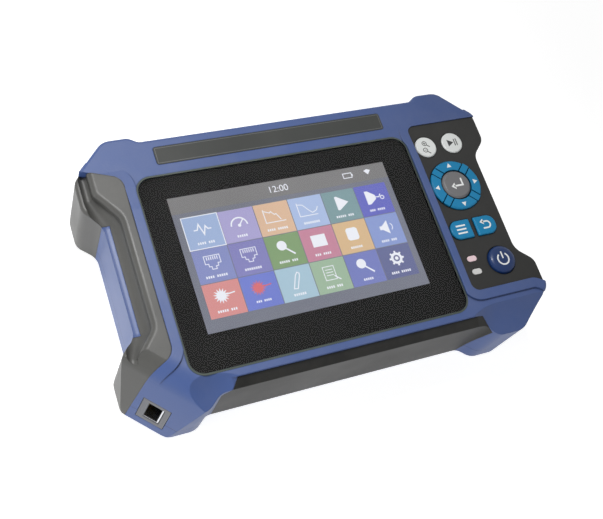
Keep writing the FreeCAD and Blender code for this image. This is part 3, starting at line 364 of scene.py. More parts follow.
def moulded(name, colour, roughness=0.5, grain_size=1600.0, grain_depth=0.02 * MM, edge_radius=0.6 * MM,
            wear=0.35, drift=0.10, dust=0.06, metallic=0.0, coat=0.0, gloss=0.5, crease=0.0,
            reach=1.2 * MM, edge_shade=0.0, seam_level=None, near_colour=None, near_edge=0.0):
    """Moulded plastic, rubber or plain metal with grain, rubbed edges, a little dust, and painted shade
    along edges and in creases.

    A seam level draws a dark parting line there, and a near colour takes over in front of the near edge.
    """
    material, tree, shader = new_material(name, {
        "Metallic": metallic,
        "Coat Weight": coat,
        "Coat Roughness": COAT_ROUGHNESS,
        "Specular IOR Level": gloss,
    })
    position = add(tree, "ShaderNodeTexCoord").outputs["Object"]
    grain = placed_group(tree, GRAIN, position, grain_size=grain_size)
    edges = placed_group(tree, EDGES, position, radius=edge_radius)
    film = placed_group(tree, DUST, position, amount=dust)
    base = mixed(tree, grain.outputs["Drift"], shaded(colour, 1 - drift), shaded(colour, 1 + drift))
    if near_colour:
        parts = add(tree, "ShaderNodeSeparateXYZ")
        nearer = add(tree, "ShaderNodeMath", {1: near_edge}, operation="LESS_THAN")
        tree.links.new(position, parts.inputs[0])
        tree.links.new(parts.outputs["Y"], nearer.inputs[0])
        base = mixed(tree, nearer.outputs[0], base, near_colour)
    rub = add(tree, "ShaderNodeMath", {1: wear}, operation="MULTIPLY")
    tree.links.new(edges.outputs["Mask"], rub.inputs[0])
    worn = mixed(tree, rub.outputs[0], base, shaded(colour, RUBBED))
    # Painted shade: darker along sharp edges, standing for the shadow in the seams between parts
    if edge_shade:
        rim = add(tree, "ShaderNodeMath", {1: edge_shade}, operation="MULTIPLY")
        tree.links.new(edges.outputs["Outline"], rim.inputs[0])
        worn = mixed(tree, rim.outputs[0], worn, shaded(colour, EDGE_SHADE_FACTOR))
    # Painted shade: darker in grooves, steps and seams, where ambient occlusion finds nearby surfaces
    if crease:
        painted_shade = placed_group(tree, CREASE_SHADE, amount=crease, reach=reach)
        worn = mixed(tree, painted_shade.outputs["Mask"], worn, shaded(colour, CREASE_SHADE_FACTOR))
    if seam_level:
        line = placed_group(tree, SEAM, position, level=seam_level)
        worn = mixed(tree, line.outputs["Mask"], worn, shaded(colour, PARTED))
    dusty = mixed(tree, film.outputs["Mask"], worn, DUST_COLOUR)
    tree.links.new(dusty, shader.inputs["Base Color"])
    sheen = add(tree, "ShaderNodeMapRange", {
        "From Min": 0.3,
        "From Max": 0.7,
        "To Min": roughness - ROUGHNESS_SPREAD / 2,
        "To Max": roughness + ROUGHNESS_SPREAD / 2,
    })
    tree.links.new(grain.outputs["Drift"], sheen.inputs["Value"])
    tree.links.new(sheen.outputs["Result"], shader.inputs["Roughness"])
    if grain_depth:
        bump = add(tree, "ShaderNodeBump", {"Strength": 1.0, "Distance": grain_depth})
        tree.links.new(grain.outputs["Height"], bump.inputs["Height"])
        tree.links.new(edges.outputs["Normal"], bump.inputs["Normal"])
        tree.links.new(bump.outputs["Normal"], shader.inputs["Normal"])
    return material


def lit(name, colour, drift=0.06):
    """Part of the lit picture: its colour drifts slowly and shows the panel's fine dots."""
    material, tree, shader = new_material(name, {
        "Base Color": (0.02, 0.02, 0.02, 1.0),
        "Roughness": 0.5,
        "Specular IOR Level": 0.0,
        "Emission Strength": 1.0,
    })
    position = add(tree, "ShaderNodeTexCoord").outputs["Object"]
    slow = add(tree, "ShaderNodeTexNoise", {"Scale": 22.0, "Detail": 1.0})
    dots = add(tree, "ShaderNodeTexVoronoi", {"Scale": 7400.0}, distance="CHEBYCHEV")
    tree.links.new(position, slow.inputs["Vector"])
    tree.links.new(position, dots.inputs["Vector"])
    soft = mixed(tree, slow.outputs["Fac"], shaded(colour, 1 - drift), shaded(colour, 1 + drift))
    faint = add(tree, "ShaderNodeMath", {1: 0.05}, operation="MULTIPLY")
    tree.links.new(dots.outputs["Distance"], faint.inputs[0])
    shown = mixed(tree, faint.outputs[0], soft, (0.0, 0.0, 0.0, 1.0))
    tree.links.new(shown, shader.inputs["Emission Color"])
    return material


def cover_glass_material():
    """Clear glass with faint smears."""
    material, tree, shader = new_material("cover_glass", {
        "Base Color": (0.97, 0.98, 0.98, 1.0),
        "Transmission Weight": 1.0,
        "IOR": 1.18,
    })
    position = add(tree, "ShaderNodeTexCoord").outputs["Object"]
    smears = add(tree, "ShaderNodeTexNoise", {"Scale": 35.0, "Detail": 5.0, "Distortion": 0.8})
    dull = add(tree, "ShaderNodeMapRange", {"From Min": 0.4, "From Max": 0.8, "To Min": 0.0, "To Max": 0.05})
    tree.links.new(position, smears.inputs["Vector"])
    tree.links.new(smears.outputs["Fac"], dull.inputs["Value"])
    tree.links.new(dull.outputs["Result"], shader.inputs["Roughness"])
    return material


# Materials of the carried-over pieces

blue_plastic = moulded(
    "blue_plastic", paint(61, 84, 138), roughness=0.44, grain_size=1500.0, grain_depth=0.03 * MM,
    crease=0.75, seam_level=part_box("rear_shell")[1].z)
# Grip: a wide reach of painted crease shade darkens its finger channel
grip_rubber = moulded(
    "grip_rubber", paint(76, 76, 74), roughness=0.42, edge_radius=0.7 * MM, wear=0.0, crease=0.6,
    reach=7.0 * MM, edge_shade=0.75, gloss=0.4)
keypad_rubber = moulded(
    "keypad_rubber", paint(50, 50, 49), roughness=0.6, wear=0.0, dust=0.02, crease=0.7, edge_shade=0.8,
    gloss=0.2)
bumper_rubber = moulded(
    "bumper_rubber", paint(29, 29, 28), roughness=0.45, edge_radius=0.7 * MM, wear=0.0, crease=0.6,
    edge_shade=0.5, gloss=0.2)
strip_plastic = moulded(
    "strip_plastic", paint(58, 60, 58), roughness=0.36, dust=0.02, edge_radius=0.2 * MM, gloss=0.3)
gasket_rubber = moulded(
    "gasket_rubber", paint(50, 62, 57), roughness=0.6, edge_radius=0.2 * MM, crease=0.5)
display_edge = moulded("display_edge", paint(60, 62, 66), roughness=0.3)
teal_key = moulded(
    "teal_key", paint(26, 134, 184), roughness=0.38, drift=0.05, dust=0.02, wear=0.15, crease=0.6,
    gloss=0.25)
grey_key = moulded(
    "grey_key", paint(112, 112, 114), roughness=0.42, drift=0.05, dust=0.02, crease=0.5)
pale_key = moulded(
    "pale_key", paint(238, 241, 239), roughness=0.42, drift=0.03, wear=0.1, dust=0.02, crease=0.4)
navy_key = moulded(
    "navy_key", paint(18, 48, 98), roughness=0.34, grain_depth=0.003 * MM, drift=0.05, dust=0.0,
    coat=0.1, gloss=0.3)
status_lens = moulded(
    "status_lens", paint(255, 222, 228), roughness=0.25, drift=0.04, wear=0.0, dust=0.0, coat=0.4,
    near_colour=paint(226, 226, 224), near_edge=middle("status_lenses").y)
inner_rubber = moulded("inner_rubber", paint(120, 120, 118), roughness=0.7)
circuit_board = moulded("circuit_board", paint(20, 96, 58), roughness=0.35, grain_size=500.0)
socket_grey = moulded("socket_grey", paint(104, 105, 110), roughness=0.5, edge_radius=0.3 * MM)
black_plastic = moulded(
    "black_plastic", paint(30, 30, 31), roughness=0.45, edge_radius=0.4 * MM, dust=0.03)
gold = moulded(
    "gold_contact", paint(226, 184, 96), roughness=0.25, grain_depth=0.003 * MM, metallic=1.0)
shield_metal = moulded(
    "shield_metal", paint(206, 208, 212), roughness=0.28, grain_depth=0.003 * MM,
    edge_radius=0.1 * MM, metallic=1.0)
adapter_metal = moulded(
    "adapter_metal", paint(188, 189, 192), roughness=0.30, grain_size=900.0, grain_depth=0.004 * MM,
    edge_radius=0.2 * MM, metallic=1.0)
steel = moulded(
    "steel", paint(150, 151, 155), roughness=0.32, grain_depth=0.004 * MM, edge_radius=0.2 * MM,
    metallic=1.0)
module_metal = moulded("module_metal", paint(170, 172, 176), roughness=0.4, metallic=1.0)
fibre_yellow = moulded("fibre_yellow", paint(232, 206, 92), roughness=0.4, grain_size=2600.0)
battery_wrap = moulded("battery_wrap", paint(40, 58, 110), roughness=0.3)
foot_rubber = moulded(
    "foot_rubber", paint(38, 38, 38), roughness=0.8, grain_depth=0.04 * MM, edge_radius=0.5 * MM)
white_ink = moulded(
    "white_ink", paint(250, 252, 251), roughness=0.5, edge_radius=0.03 * MM, wear=0.0, drift=0.02,
    dust=0.0)
dark_ink = moulded(
    "dark_ink", paint(40, 42, 44), roughness=0.5, edge_radius=0.03 * MM, wear=0.0)
black_ink = moulded(
    "black_ink", paint(20, 20, 20), roughness=0.6, grain_depth=0.0, wear=0.0, drift=0.06, dust=0.0,
    gloss=0.1)
strip_line = moulded(
    "strip_line", paint(96, 98, 98), roughness=0.45, edge_radius=0.03 * MM, wear=0.0)

NODE_MATERIALS = {
    "front_shell": blue_plastic,
    "rear_shell": blue_plastic,
    "battery_door": blue_plastic,
    "left_grip": grip_rubber,
    "keypad_grip": keypad_rubber,
    "near_bumper_bar": bumper_rubber,
    "name_strip": strip_plastic,
    "screen_gasket": gasket_rubber,
    "screen_glass": cover_glass_material(),
    "display_module": display_edge,
    "key_right": teal_key,
    "key_up": teal_key,
    "key_left": teal_key,
    "key_down": teal_key,
    "ring_dividers": teal_key,
    "key_menu": teal_key,
    "key_back": teal_key,
    "key_enter": grey_key,
    "key_zoom": pale_key,
    "key_run": pale_key,
    "key_power": navy_key,
    "status_lenses": status_lens,
    "keypad_mat": inner_rubber,
    "keypad_board": circuit_board,
    "main_board": circuit_board,
    "network_insert": socket_grey,
    "network_jack": black_plastic,
    "jack_contacts": gold,
    "reflectometer_adapter": adapter_metal,
    "laser_adapter": adapter_metal,
    "meter_adapter": adapter_metal,
    "reflectometer_door": black_plastic,
    "laser_door": black_plastic,
    "meter_door": black_plastic,
    "charge_door": black_plastic,
    "charge_socket": shield_metal,
    "door_pins": steel,
    "stand_pin": steel,
    "door_screws": steel,
    "case_screws": steel,
    "optical_module": module_metal,
    "fibre_coil": fibre_yellow,
    "battery_pack": battery_wrap,
    "feet": foot_rubber,
    "stand": black_plastic,
}


for node_name, node_material in NODE_MATERIALS.items():
    node_slots = nodes[node_name].data.materials
    node_slots.clear()
    node_slots.append(node_material)


# Pieces made from a bmesh

def thicken(mesh, faces, depth):
    """Make a plate of flat faces, from their own level to a depth above or below it."""
    grown = bmesh.ops.extrude_face_region(mesh, geom=faces)
    raised = [v for v in grown["geom"] if isinstance(v, bmesh.types.BMVert)]
    bmesh.ops.translate(mesh, verts=raised, vec=(0, 0, depth))


def finished(mesh, name, material, body):
    """Object from a bmesh, with its material, that rides on a body."""
    bmesh.ops.recalc_face_normals(mesh, faces=mesh.faces)
    data = bpy.data.meshes.new(name)
    mesh.to_mesh(data)
    mesh.free()
    data.materials.append(material)
    piece = bpy.data.objects.new(name, data)
    bpy.context.scene.collection.objects.link(piece)
    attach(piece, body)
    return piece


# Drawing of flat marks

def beside(path, distance, closed):
    """Points of a path shifted sideways by a distance, with mitred corners."""
    shifted = []
    for i, point in enumerate(path):
        pairs = []
        if closed or i > 0:
            pairs.append((path[i - 1], point))
        if closed or i < len(path) - 1:
            pairs.append((point, path[(i + 1) % len(path)]))
        sides = [Vector((a.y - b.y, b.x - a.x)).normalized() for a, b in pairs]
        mitre = sum(sides, Vector((0, 0))).normalized()
        shifted.append(point + mitre * distance / mitre.dot(sides[0]))
    return shifted


def rectangle(left, low, right, high):
    """Corners of a rectangle, which ends where it starts."""
    return [(left, low), (right, low), (right, high), (left, high), (left, low)]


def rounded_rectangle(half_width, half_height, radius):
    """Outline of a rectangle about its middle, with eight steps round each corner."""
    points = []
    for quarter, (side_x, side_y) in enumerate(((1, 1), (-1, 1), (-1, -1), (1, -1))):
        for i in range(9):
            angle = math.pi / 2 * (quarter + i / 8)
            points.append((side_x * (half_width - radius) + radius * math.cos(angle),
                           side_y * (half_height - radius) + radius * math.sin(angle)))
    return points


class Marks:
    """Flat marks gathered in one mesh, all of one thickness, drawn about a centre."""

    def __init__(self, centre, low, thickness=MARK_THICKNESS, scale=MM):
        self.mesh = bmesh.new()
        self.centre = Vector(centre[:2])
        self.low = low
        self.thickness = thickness
        self.scale = scale

    def loop(self, points):
        places = [self.centre + Vector((x, y)) * self.scale for x, y in points]
        return [self.mesh.verts.new((place.x, place.y, self.low)) for place in places]

    def polygon(self, points):
        thicken(self.mesh, [self.mesh.faces.new(self.loop(points))], self.thickness)

    def band(self, outer, inner):
        """Closed band between two outlines with as many points."""
        edges = []
        for points in (outer, inner):
            loop = self.loop(points)
            edges += [self.mesh.edges.new(pair) for pair in zip(loop, loop[1:] + loop[:1])]
        bridge = bmesh.ops.bridge_loops(self.mesh, edges=edges)
        thicken(self.mesh, bridge["faces"], self.thickness)

    def bar(self, left, low, right, high):
        self.polygon(rectangle(left, low, right, high)[:-1])

    def stroke(self, points, width):
        """Line of one width with mitred corners; it closes where it ends on its first point."""
        path = [Vector(point) for point in points]
        closed = path[0] == path[-1]
        if closed:
            path.pop()
            self.band(beside(path, width / 2, True), beside(path, -width / 2, True))
            return
        path[0] -= (path[1] - path[0]).normalized() * width / 2
        path[-1] += (path[-1] - path[-2]).normalized() * width / 2
        self.polygon(beside(path, width / 2, False) + beside(path, -width / 2, False)[::-1])

    def disc(self, x, y, radius, sides=24):
        self.polygon([(x + radius * math.cos(a), y + radius * math.sin(a))
                      for a in (2 * math.pi * i / sides for i in range(sides))])

    def arc(self, x, y, radius, width, start=0.0, end=360.0, sides=28):
        """Part of a ring, from one angle to another in degrees, or a whole one."""
        count = max(3, int(sides * abs(end - start) / 360))
        angles = [math.radians(start + (end - start) * i / count) for i in range(count + 1)]
        outer, inner = [[(x + r * math.cos(a), y + r * math.sin(a)) for a in angles]
                        for r in (radius + width / 2, radius - width / 2)]
        if abs(end - start) < 360:
            self.polygon(outer + inner[::-1])
        else:
            self.band(outer[:-1], inner[:-1])

    def piece(self, name, material, body, slot):
        return finished(self.mesh, name, material, body)


# Lit picture under the cover glass

SCREEN_GREY = (119, 122, 135)
STATUS_BAR_GREY = (126, 125, 126)
TILE_COLOURS = [
    [(150, 174, 218), (164, 156, 210), (222, 180, 146), (164, 186, 230), (112, 146, 152), (86, 90, 190)],
    [(120, 130, 192), (118, 116, 184), (116, 150, 98), (196, 122, 148), (216, 178, 130), (126, 146, 208)],
    [(216, 132, 130), (96, 112, 206), (160, 194, 214), (150, 180, 150), (104, 114, 188), (84, 90, 140)],
]
TILE_HAZE = 205
TILE_HAZE_SHARE = 0.16

display_centre = middle("display_module")
glass_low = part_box("screen_glass")[0].z
white_light = lit("screen_white", paint(236, 238, 246), drift=0.02)
red_light = lit("screen_red", paint(214, 110, 116))


def screen_marks(level, place=(0.0, 0.0), layers=1, scale=1.0):
    """Marks in a layer of the screen picture, about a place on the display."""
    centre = (display_centre.x + place[0], display_centre.y + place[1])
    return Marks(centre, glass_low + level * LAYER, layers * LAYER, scale)


def screen_box(name, left, right, low, high, level, colour, drift=0.06):
    marks = screen_marks(level)
    marks.bar(left, low, right, high)
    marks.piece(name, lit(name, paint(*colour), drift), "root", "display")


def make_screen_background():
    side = DISPLAY_WIDTH / 2 + BACKGROUND_MARGIN
    top = DISPLAY_HEIGHT / 2 + BACKGROUND_MARGIN
    screen_box("screen_background", -side, side, -top, top, BACKGROUND_LEVEL, SCREEN_GREY, drift=0.14)
    screen_box("screen_status_bar", -side, side, STATUS_BAR_LOW, top, STATUS_BAR_LEVEL, STATUS_BAR_GREY,
               drift=0.10)


def tile_place(row, column):
    """Left, right, low and high edge of a tile."""
    left = TILES_LEFT + column * TILE_WIDTH
    top = TILES_TOP - row * TILE_HEIGHT
    return left, left + TILE_WIDTH - TILE_GAP, top - TILE_HEIGHT + TILE_GAP, top


def make_tiles():
    for row, colours in enumerate(TILE_COLOURS):
        for column, colour in enumerate(colours):
            hazed = [channel + (TILE_HAZE - channel) * TILE_HAZE_SHARE for channel in colour]
            screen_box(f"screen_tile_{row + 1}_{column + 1}", *tile_place(row, column), TILE_LEVEL, hazed)


# Pictograms of the tiles, drawn in millimetres about their middle

def icon_wave(m):
    m.stroke([(-3.4, 0), (-2.2, 0), (-1.2, 2.4), (0.2, -2.2), (1.4, 1.4), (2.2, 0), (3.4, 0)], 0.5)


def icon_gauge(m):
    m.arc(0, -1.2, 3.4, 0.6, 0, 180)
    m.stroke([(0, -1.2), (1.8, 1.0)], 0.5)
    m.disc(0, -1.2, 0.7, 12)


def icon_trace(m):
    m.stroke([(-4.0, 3.2), (-4.0, -2.6), (4.4, -2.6)], 0.35)
    m.stroke([(-3.6, 2.6), (-1.4, 1.6), (-0.8, 2.2), (0.4, 0.6), (1.2, 0.9), (2.6, -1.8)], 0.35)


def icon_long_trace(m):
    m.stroke([(-4.2, 3.4), (-4.2, -2.6), (3.6, -2.6)], 0.35)
    m.stroke([(-3.8, 2.8), (-1.8, 2.4), (0.2, -0.2), (1.6, -1.6), (3.6, -0.8), (4.4, 0.6)], 0.35)


def icon_arrow_head(m):
    m.polygon([(-2.2, 3.2), (-1.4, 3.4), (3.4, 0.2), (-1.4, -3.0), (-2.2, -2.8)])


def icon_connector(m):
    m.polygon([(-3.4, 3.2), (-2.0, 3.2), (1.0, 0.9), (1.0, -0.9), (-2.0, -3.0), (-3.4, -3.0)])
    m.stroke([(1.0, 0), (2.6, -0.2), (3.4, 0.9)], 0.4)
    m.arc(4.0, -0.6, 0.8, 0.4, 0, 360, 12)


def icon_socket(m):
    m.stroke([(-3.2, 3.0), (3.2, 3.0), (3.2, -0.4), (1.9, -0.4), (1.9, -1.6), (0.9, -1.6), (0.9, -2.8),
              (-0.9, -2.8), (-0.9, -1.6), (-1.9, -1.6), (-1.9, -0.4), (-3.2, -0.4), (-3.2, 3.0)], 0.3)
    for i in range(6):
        left = -2.3 + i * 0.85
        m.bar(left, 1.2, left + 0.35, 2.6)


def icon_magnifier(m):
    m.disc(-1.0, 1.2, 2.1)
    m.stroke([(0.6, -0.4), (3.4, -3.0)], 0.7)


def icon_panel(m):
    m.bar(-3.2, -2.4, 3.2, 2.8)


def icon_cabinet(m):
    m.polygon([(-2.6, 2.2), (-1.8, 3.0), (1.8, 3.0), (2.6, 2.2),
               (2.6, -1.8), (1.8, -2.6), (-1.8, -2.6), (-2.6, -1.8)])


def icon_horn(m):
    m.polygon([(-2.4, 0.9), (-1.2, 0.9), (1.6, 3.2), (1.6, -3.0), (-1.2, -0.8), (-2.4, -0.8)])
    m.arc(1.6, 0.1, 1.9, 0.35, -50, 50)


def icon_burst(m):
    star = []
    for i in range(28):
        radius = 3.3 if i % 2 else 1.8
        angle = 2 * math.pi * i / 28
        star.append((-0.8 + radius * math.cos(angle), 0.4 + radius * math.sin(angle)))
    m.polygon(star)
    m.stroke([(1.6, 0.6), (4.6, 1.0)], 0.5)


def icon_tool(m):
    m.stroke([(-1.8, -3.2), (0.4, 2.2), (1.4, 3.4), (2.2, 2.8), (2.0, 1.8), (-0.2, -3.4), (-1.8, -3.2)], 0.4)


def icon_sheet(m):
    m.stroke(rectangle(-2.8, -2.8, 2.0, 3.0), 0.3)
    for y in (1.6, 0.4, -0.8):
        m.stroke([(-1.8, y), (1.0, y)], 0.3)
    m.stroke([(1.4, -1.4), (3.4, -3.2)], 0.5)


def icon_gear(m):
    m.arc(0, 0.3, 2.0, 1.1)
    for i in range(8):
        angle = math.pi * i / 4
        m.stroke([(radius * math.cos(angle), 0.3 + radius * math.sin(angle)) for radius in (2.3, 2.9)], 0.8)
    m.disc(0, 0.3, 0.8, 16)


TILE_ICONS = [
    [icon_wave, icon_gauge, icon_trace, icon_long_trace, icon_arrow_head, icon_connector],
    [icon_socket, icon_socket, icon_magnifier, icon_panel, icon_cabinet, icon_horn],
    [icon_burst, icon_burst, icon_tool, icon_sheet, icon_magnifier, icon_gear],
]
RED_ICON = (2, 1)


def label_blocks(marks, counts):
    """Groups of small blocks in a row, centred under a pictogram."""
    x = -(sum(counts) + len(counts) - 1) * BLOCK_PITCH / 2
    for count in counts:
        for _ in range(count):
            marks.bar(x, BLOCK_LOW, x + BLOCK_WIDTH, BLOCK_HIGH)
            x += BLOCK_PITCH
        x += BLOCK_PITCH


def make_icons():
    """White pictograms, one of them red, each with a row of white blocks under it."""
    for row, icons in enumerate(TILE_ICONS):
        for column, icon in enumerate(icons):
            left, right, low, high = tile_place(row, column)
            place = ((left + right) / 2, (low + high) / 2 + PICTOGRAM_LIFT)
            marks = screen_marks(PICTOGRAM_LEVEL, place, scale=PICTOGRAM_SCALE)
            icon(marks)
            if (row, column) == RED_ICON:
                marks.piece("screen_icon_red", red_light, "root", "display")
                marks = screen_marks(PICTOGRAM_LEVEL, place, scale=MM)
            label_blocks(marks, BLOCK_COUNTS[(2 * row + column) % len(BLOCK_COUNTS)])
            marks.piece(f"screen_icon_{row + 1}_{column + 1}", white_light, "root", "display")


def make_selection_frame():
    left, right, low, high = tile_place(0, 0)
    marks = screen_marks(PICTOGRAM_LEVEL)
    marks.stroke(rectangle(left, low, right, high), SELECTION_WIDTH)
    marks.piece("screen_selection", white_light, "root", "display")


def make_clock():
    """Plain clock digits in the status bar."""
    text = bpy.data.curves.new("clock_text", "FONT")
    text.body = "12:00"
    text.size = CLOCK_SIZE
    text.align_x = "CENTER"
    text.extrude = LAYER / 2
    holder = bpy.data.objects.new("clock_text", text)
    bpy.context.scene.collection.objects.link(holder)
    bpy.context.view_layer.update()
    data = bpy.data.meshes.new_from_object(holder)
    bpy.data.objects.remove(holder)
    data.transform(Matrix.Translation((
        display_centre.x + CLOCK_PLACE.x,
        display_centre.y + CLOCK_PLACE.y,
        glass_low + (PICTOGRAM_LEVEL + 0.5) * LAYER,
    )))
    mesh = bmesh.new()
    mesh.from_mesh(data)
    bmesh.ops.remove_doubles(mesh, verts=mesh.verts, dist=1e-7)
    bpy.data.meshes.remove(data)
    finished(mesh, "screen_clock", white_light, "root")


def make_status_signs():
    """Battery and network sign at the right of the status bar."""
    marks = screen_marks(PICTOGRAM_LEVEL, SIGNS_PLACE, scale=MM)
    marks.stroke(rectangle(-2.4, -1.2, 2.0, 1.2), 0.4)
    marks.bar(2.0, -0.5, 2.6, 0.5)
    marks.polygon([(8.6, 1.0), (10.4, -1.2), (12.2, 1.0), (10.4, 1.7)])
    marks.piece("screen_signs", white_light, "root", "display")


def make_glass_mask():
    """Black ink under the rim of the cover glass, open over the display."""
    low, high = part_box("screen_glass")
    shift = middle("screen_glass") - display_centre
    rim = rounded_rectangle(
        (high.x - low.x) / 2 - INK_INSET, (high.y - low.y) / 2 - INK_INSET, INK_CORNER_RADIUS)
    opening = rounded_rectangle(DISPLAY_WIDTH / 2, DISPLAY_HEIGHT / 2, INK_OPENING_RADIUS)
    marks = screen_marks(INK_LEVEL, layers=INK_LAYERS)
    marks.band([(shift.x + x, shift.y + y) for x, y in rim], opening)
    marks.piece("glass_mask", black_ink, "root", "cover_glass")


make_screen_background()
make_tiles()
make_icons()
make_selection_frame()
make_clock()
make_status_signs()
make_glass_mask()


# Power key's cap

def make_power_key():
    """Glossy domed cap of the power key, turned about its axis."""
    low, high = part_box("key_power")
    centre = middle("key_power")
    top = high.z - POWER_DOME_DROP
    wall_radius = POWER_DOME[-1][0] * MM
    flange_radius = (high.x - low.x) / 2
    flange_top = low.z + POWER_FLANGE_HEIGHT
    profile = [(radius * MM, top + height * MM) for radius, height in POWER_DOME]
    profile += [(wall_radius, flange_top), (flange_radius, flange_top), (flange_radius, low.z), (0.0, low.z)]
    mesh = bmesh.new()
    path = [mesh.verts.new((radius, 0.0, height)) for radius, height in profile]
    edges = [mesh.edges.new(pair) for pair in zip(path, path[1:])]
    bmesh.ops.spin(mesh, geom=path + edges, cent=(0, 0, 0), axis=(0, 0, 1), dvec=(0, 0, 0),
                   angle=2 * math.pi, steps=64, use_merge=True, use_duplicate=False)
    bmesh.ops.remove_doubles(mesh, verts=mesh.verts, dist=1e-7)
    bmesh.ops.translate(mesh, verts=mesh.verts, vec=(centre.x, centre.y, 0))
    cap = finished(mesh, "power_cap", navy_key, "key_power")
    for face in cap.data.polygons:
        face.use_smooth = face.normal.z > 0.05
    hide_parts("key_power")


# Printed marks on the keys, drawn in millimetres about the middle of each key

def make_arrow_marks():
    """Arrow heads on the direction keys, pointing away from the middle of the ring."""
    ring_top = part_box("key_up")[1].z
    for turn, name in enumerate(("right", "up", "left", "down")):
        marks = Marks(middle("key_enter"), ring_top - MARK_SINK)
        along = Matrix.Rotation(math.pi / 2 * turn, 2)
        arrow = [(ARROW_TIP, 0.0), (ARROW_BASE, ARROW_HALF_WIDTH), (ARROW_BASE, -ARROW_HALF_WIDTH)]
        marks.polygon([along @ Vector(point) for point in arrow])
        marks.piece("mark_" + name, white_ink, "key_" + name, "teal_key")


def draw_enter(m):
    m.stroke([(3.0, 2.4), (3.0, -0.9), (-1.4, -0.9)], 0.9)
    m.polygon([(-3.4, -0.9), (-1.2, 0.9), (-1.2, -2.7)])


def draw_menu(m):
    for y in (-1.9, 0.0, 1.9):
        m.bar(-2.6, y - 0.4, 2.6, y + 0.4)


def draw_back(m):
    turns = [math.radians(90 - 15 * i) for i in range(13)]
    bend = [(0.6 + 1.7 * math.cos(a), 1.7 * math.sin(a)) for a in turns]
    m.stroke([(-1.2, 1.7)] + bend + [(-1.6, -1.7)], 0.8)
    m.polygon([(-3.0, 1.7), (-1.0, 3.2), (-1.0, 0.2)])


def draw_power(m):
    m.arc(0.0, -0.2, 2.9, 0.75, -235, 55)
    m.stroke([(0.0, 0.4), (0.0, 3.2)], 0.75)


def draw_run(m):
    m.polygon([(-2.6, 1.9), (0.6, 0.0), (-2.6, -1.9)])
    for left in (1.0, 2.1):
        m.bar(left, -1.9, left + 0.5, 1.9)


def draw_zoom(m):
    """Two magnifiers, with a plus in the far one and a minus in the near one."""
    for x, y in ((-0.6, 1.9), (-1.2, -1.7)):
        m.arc(x, y, 1.15, 0.35, 0, 360, 20)
        m.stroke([(x + 0.9, y - 0.9), (x + 2.2, y - 2.0)], 0.45)
        m.stroke([(x - 0.5, y), (x + 0.5, y)], 0.3)
    m.stroke([(-0.6, 1.4), (-0.6, 2.4)], 0.3)


# Key, its mark, the ink, the key's slot, and how far the mark's foot lies under the top of the node
KEY_MARKS = [
    ("enter", draw_enter, white_ink, "grey_key", MARK_SINK),
    ("menu", draw_menu, white_ink, "teal_key", MARK_SINK),
    ("back", draw_back, white_ink, "teal_key", MARK_SINK),
    ("power", draw_power, white_ink, "power_key", POWER_DOME_DROP),
    ("run", draw_run, dark_ink, "pale_key", MARK_SINK),
    ("zoom", draw_zoom, dark_ink, "pale_key", MARK_SINK),
]


def make_key_marks():
    for key, draw, ink, slot, sink in KEY_MARKS:
        node = "key_" + key
        marks = Marks(middle(node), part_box(node)[1].z - sink)
        draw(marks)
        marks.piece("mark_" + key, ink, node, slot)


def make_strip_border():
    """Thin raised line along the rim of the name strip."""
    low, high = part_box("name_strip")
    right = (high.x - low.x) / 2 / MM - STRIP_BORDER_INSET
    top = (high.y - low.y) / 2 / MM - STRIP_BORDER_INSET
    marks = Marks(middle("name_strip"), high.z - MARK_SINK)
    marks.stroke(rectangle(-right, -top, right, top), STRIP_BORDER_WIDTH)
    marks.piece("strip_border", strip_line, "root", "strip_plastic")


make_power_key()
make_arrow_marks()
make_key_marks()
make_strip_border()


# Metal shield in the network socket

def make_socket_shield():
    """Thin bent sheet that lines the socket's hollow on three sides, open on its left.

    It is drawn flat, with X along the socket and Z out of it, and then turned into the corner's face.
    """
    left = -SOCKET_WIDTH / 2
    right = SOCKET_WIDTH / 2 - SHIELD_INSET
    high = SOCKET_HEIGHT / 2
    inner = right - SHIELD_THICKNESS
    inner_high = high - SHIELD_THICKNESS / 2
    inner_low = SHIELD_THICKNESS - high
    profile = [(left, -high), (right, -high), (right, high), (left, high),
               (left, inner_high), (inner, inner_high), (inner, inner_low), (left, inner_low)]
    mesh = bmesh.new()
    mouth = mesh.faces.new([mesh.verts.new((x, y, SHIELD_FRONT)) for x, y in profile])
    thicken(mesh, [mouth], -SHIELD_DEPTH)
    flat = math.sin(math.radians(45))
    along = Vector((flat, -flat, 0))
    up = Vector((flat * math.sin(FACE_LEAN), flat * math.sin(FACE_LEAN), math.cos(FACE_LEAN)))
    turn = Matrix((along, up, along.cross(up))).transposed().to_4x4()
    turn.translation = middle("network_insert") + along * SOCKET_SHIFT
    bmesh.ops.transform(mesh, matrix=turn, verts=mesh.verts)
    finished(mesh, "socket_shield", shield_metal, "root")


make_socket_shield()


# Painted shade in the cross recesses of the screws underneath

def make_cross_recess_shade(name, node, screw_radius, reach):
    """Dark crosses of painted shade, in place of the recesses in the heads of a node's screws, which lie at
    the corners of its box or in one row.
    """
    low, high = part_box(node)
    inset = screw_radius * MM
    half = CROSS_WIDTH / 2
    cross = [(reach, half), (half, half), (half, reach), (-half, reach), (-half, half), (-reach, half),
             (-reach, -half), (-half, -half), (-half, -reach), (half, -reach), (half, -half), (reach, -half)]
    turned = [Vector(point) @ Matrix.Rotation(CROSS_TURN, 2) for point in cross]
    marks = Marks((0, 0), low.z - CROSS_RISE, CROSS_DEPTH)
    for x in (low.x + inset, high.x - inset):
        for y in sorted({round(low.y + inset, 6), round(high.y - inset, 6)}):
            marks.centre = Vector((x, y))
            marks.polygon(turned)
    marks.piece(name, black_plastic, "root", "steel")


make_cross_recess_shade("case_screw_cross_shade", "case_screws", CASE_SCREW_RADIUS, CASE_CROSS_REACH)
make_cross_recess_shade("door_screw_cross_shade", "door_screws", DOOR_SCREW_RADIUS, DOOR_CROSS_REACH)


# Floor, lamps and camera

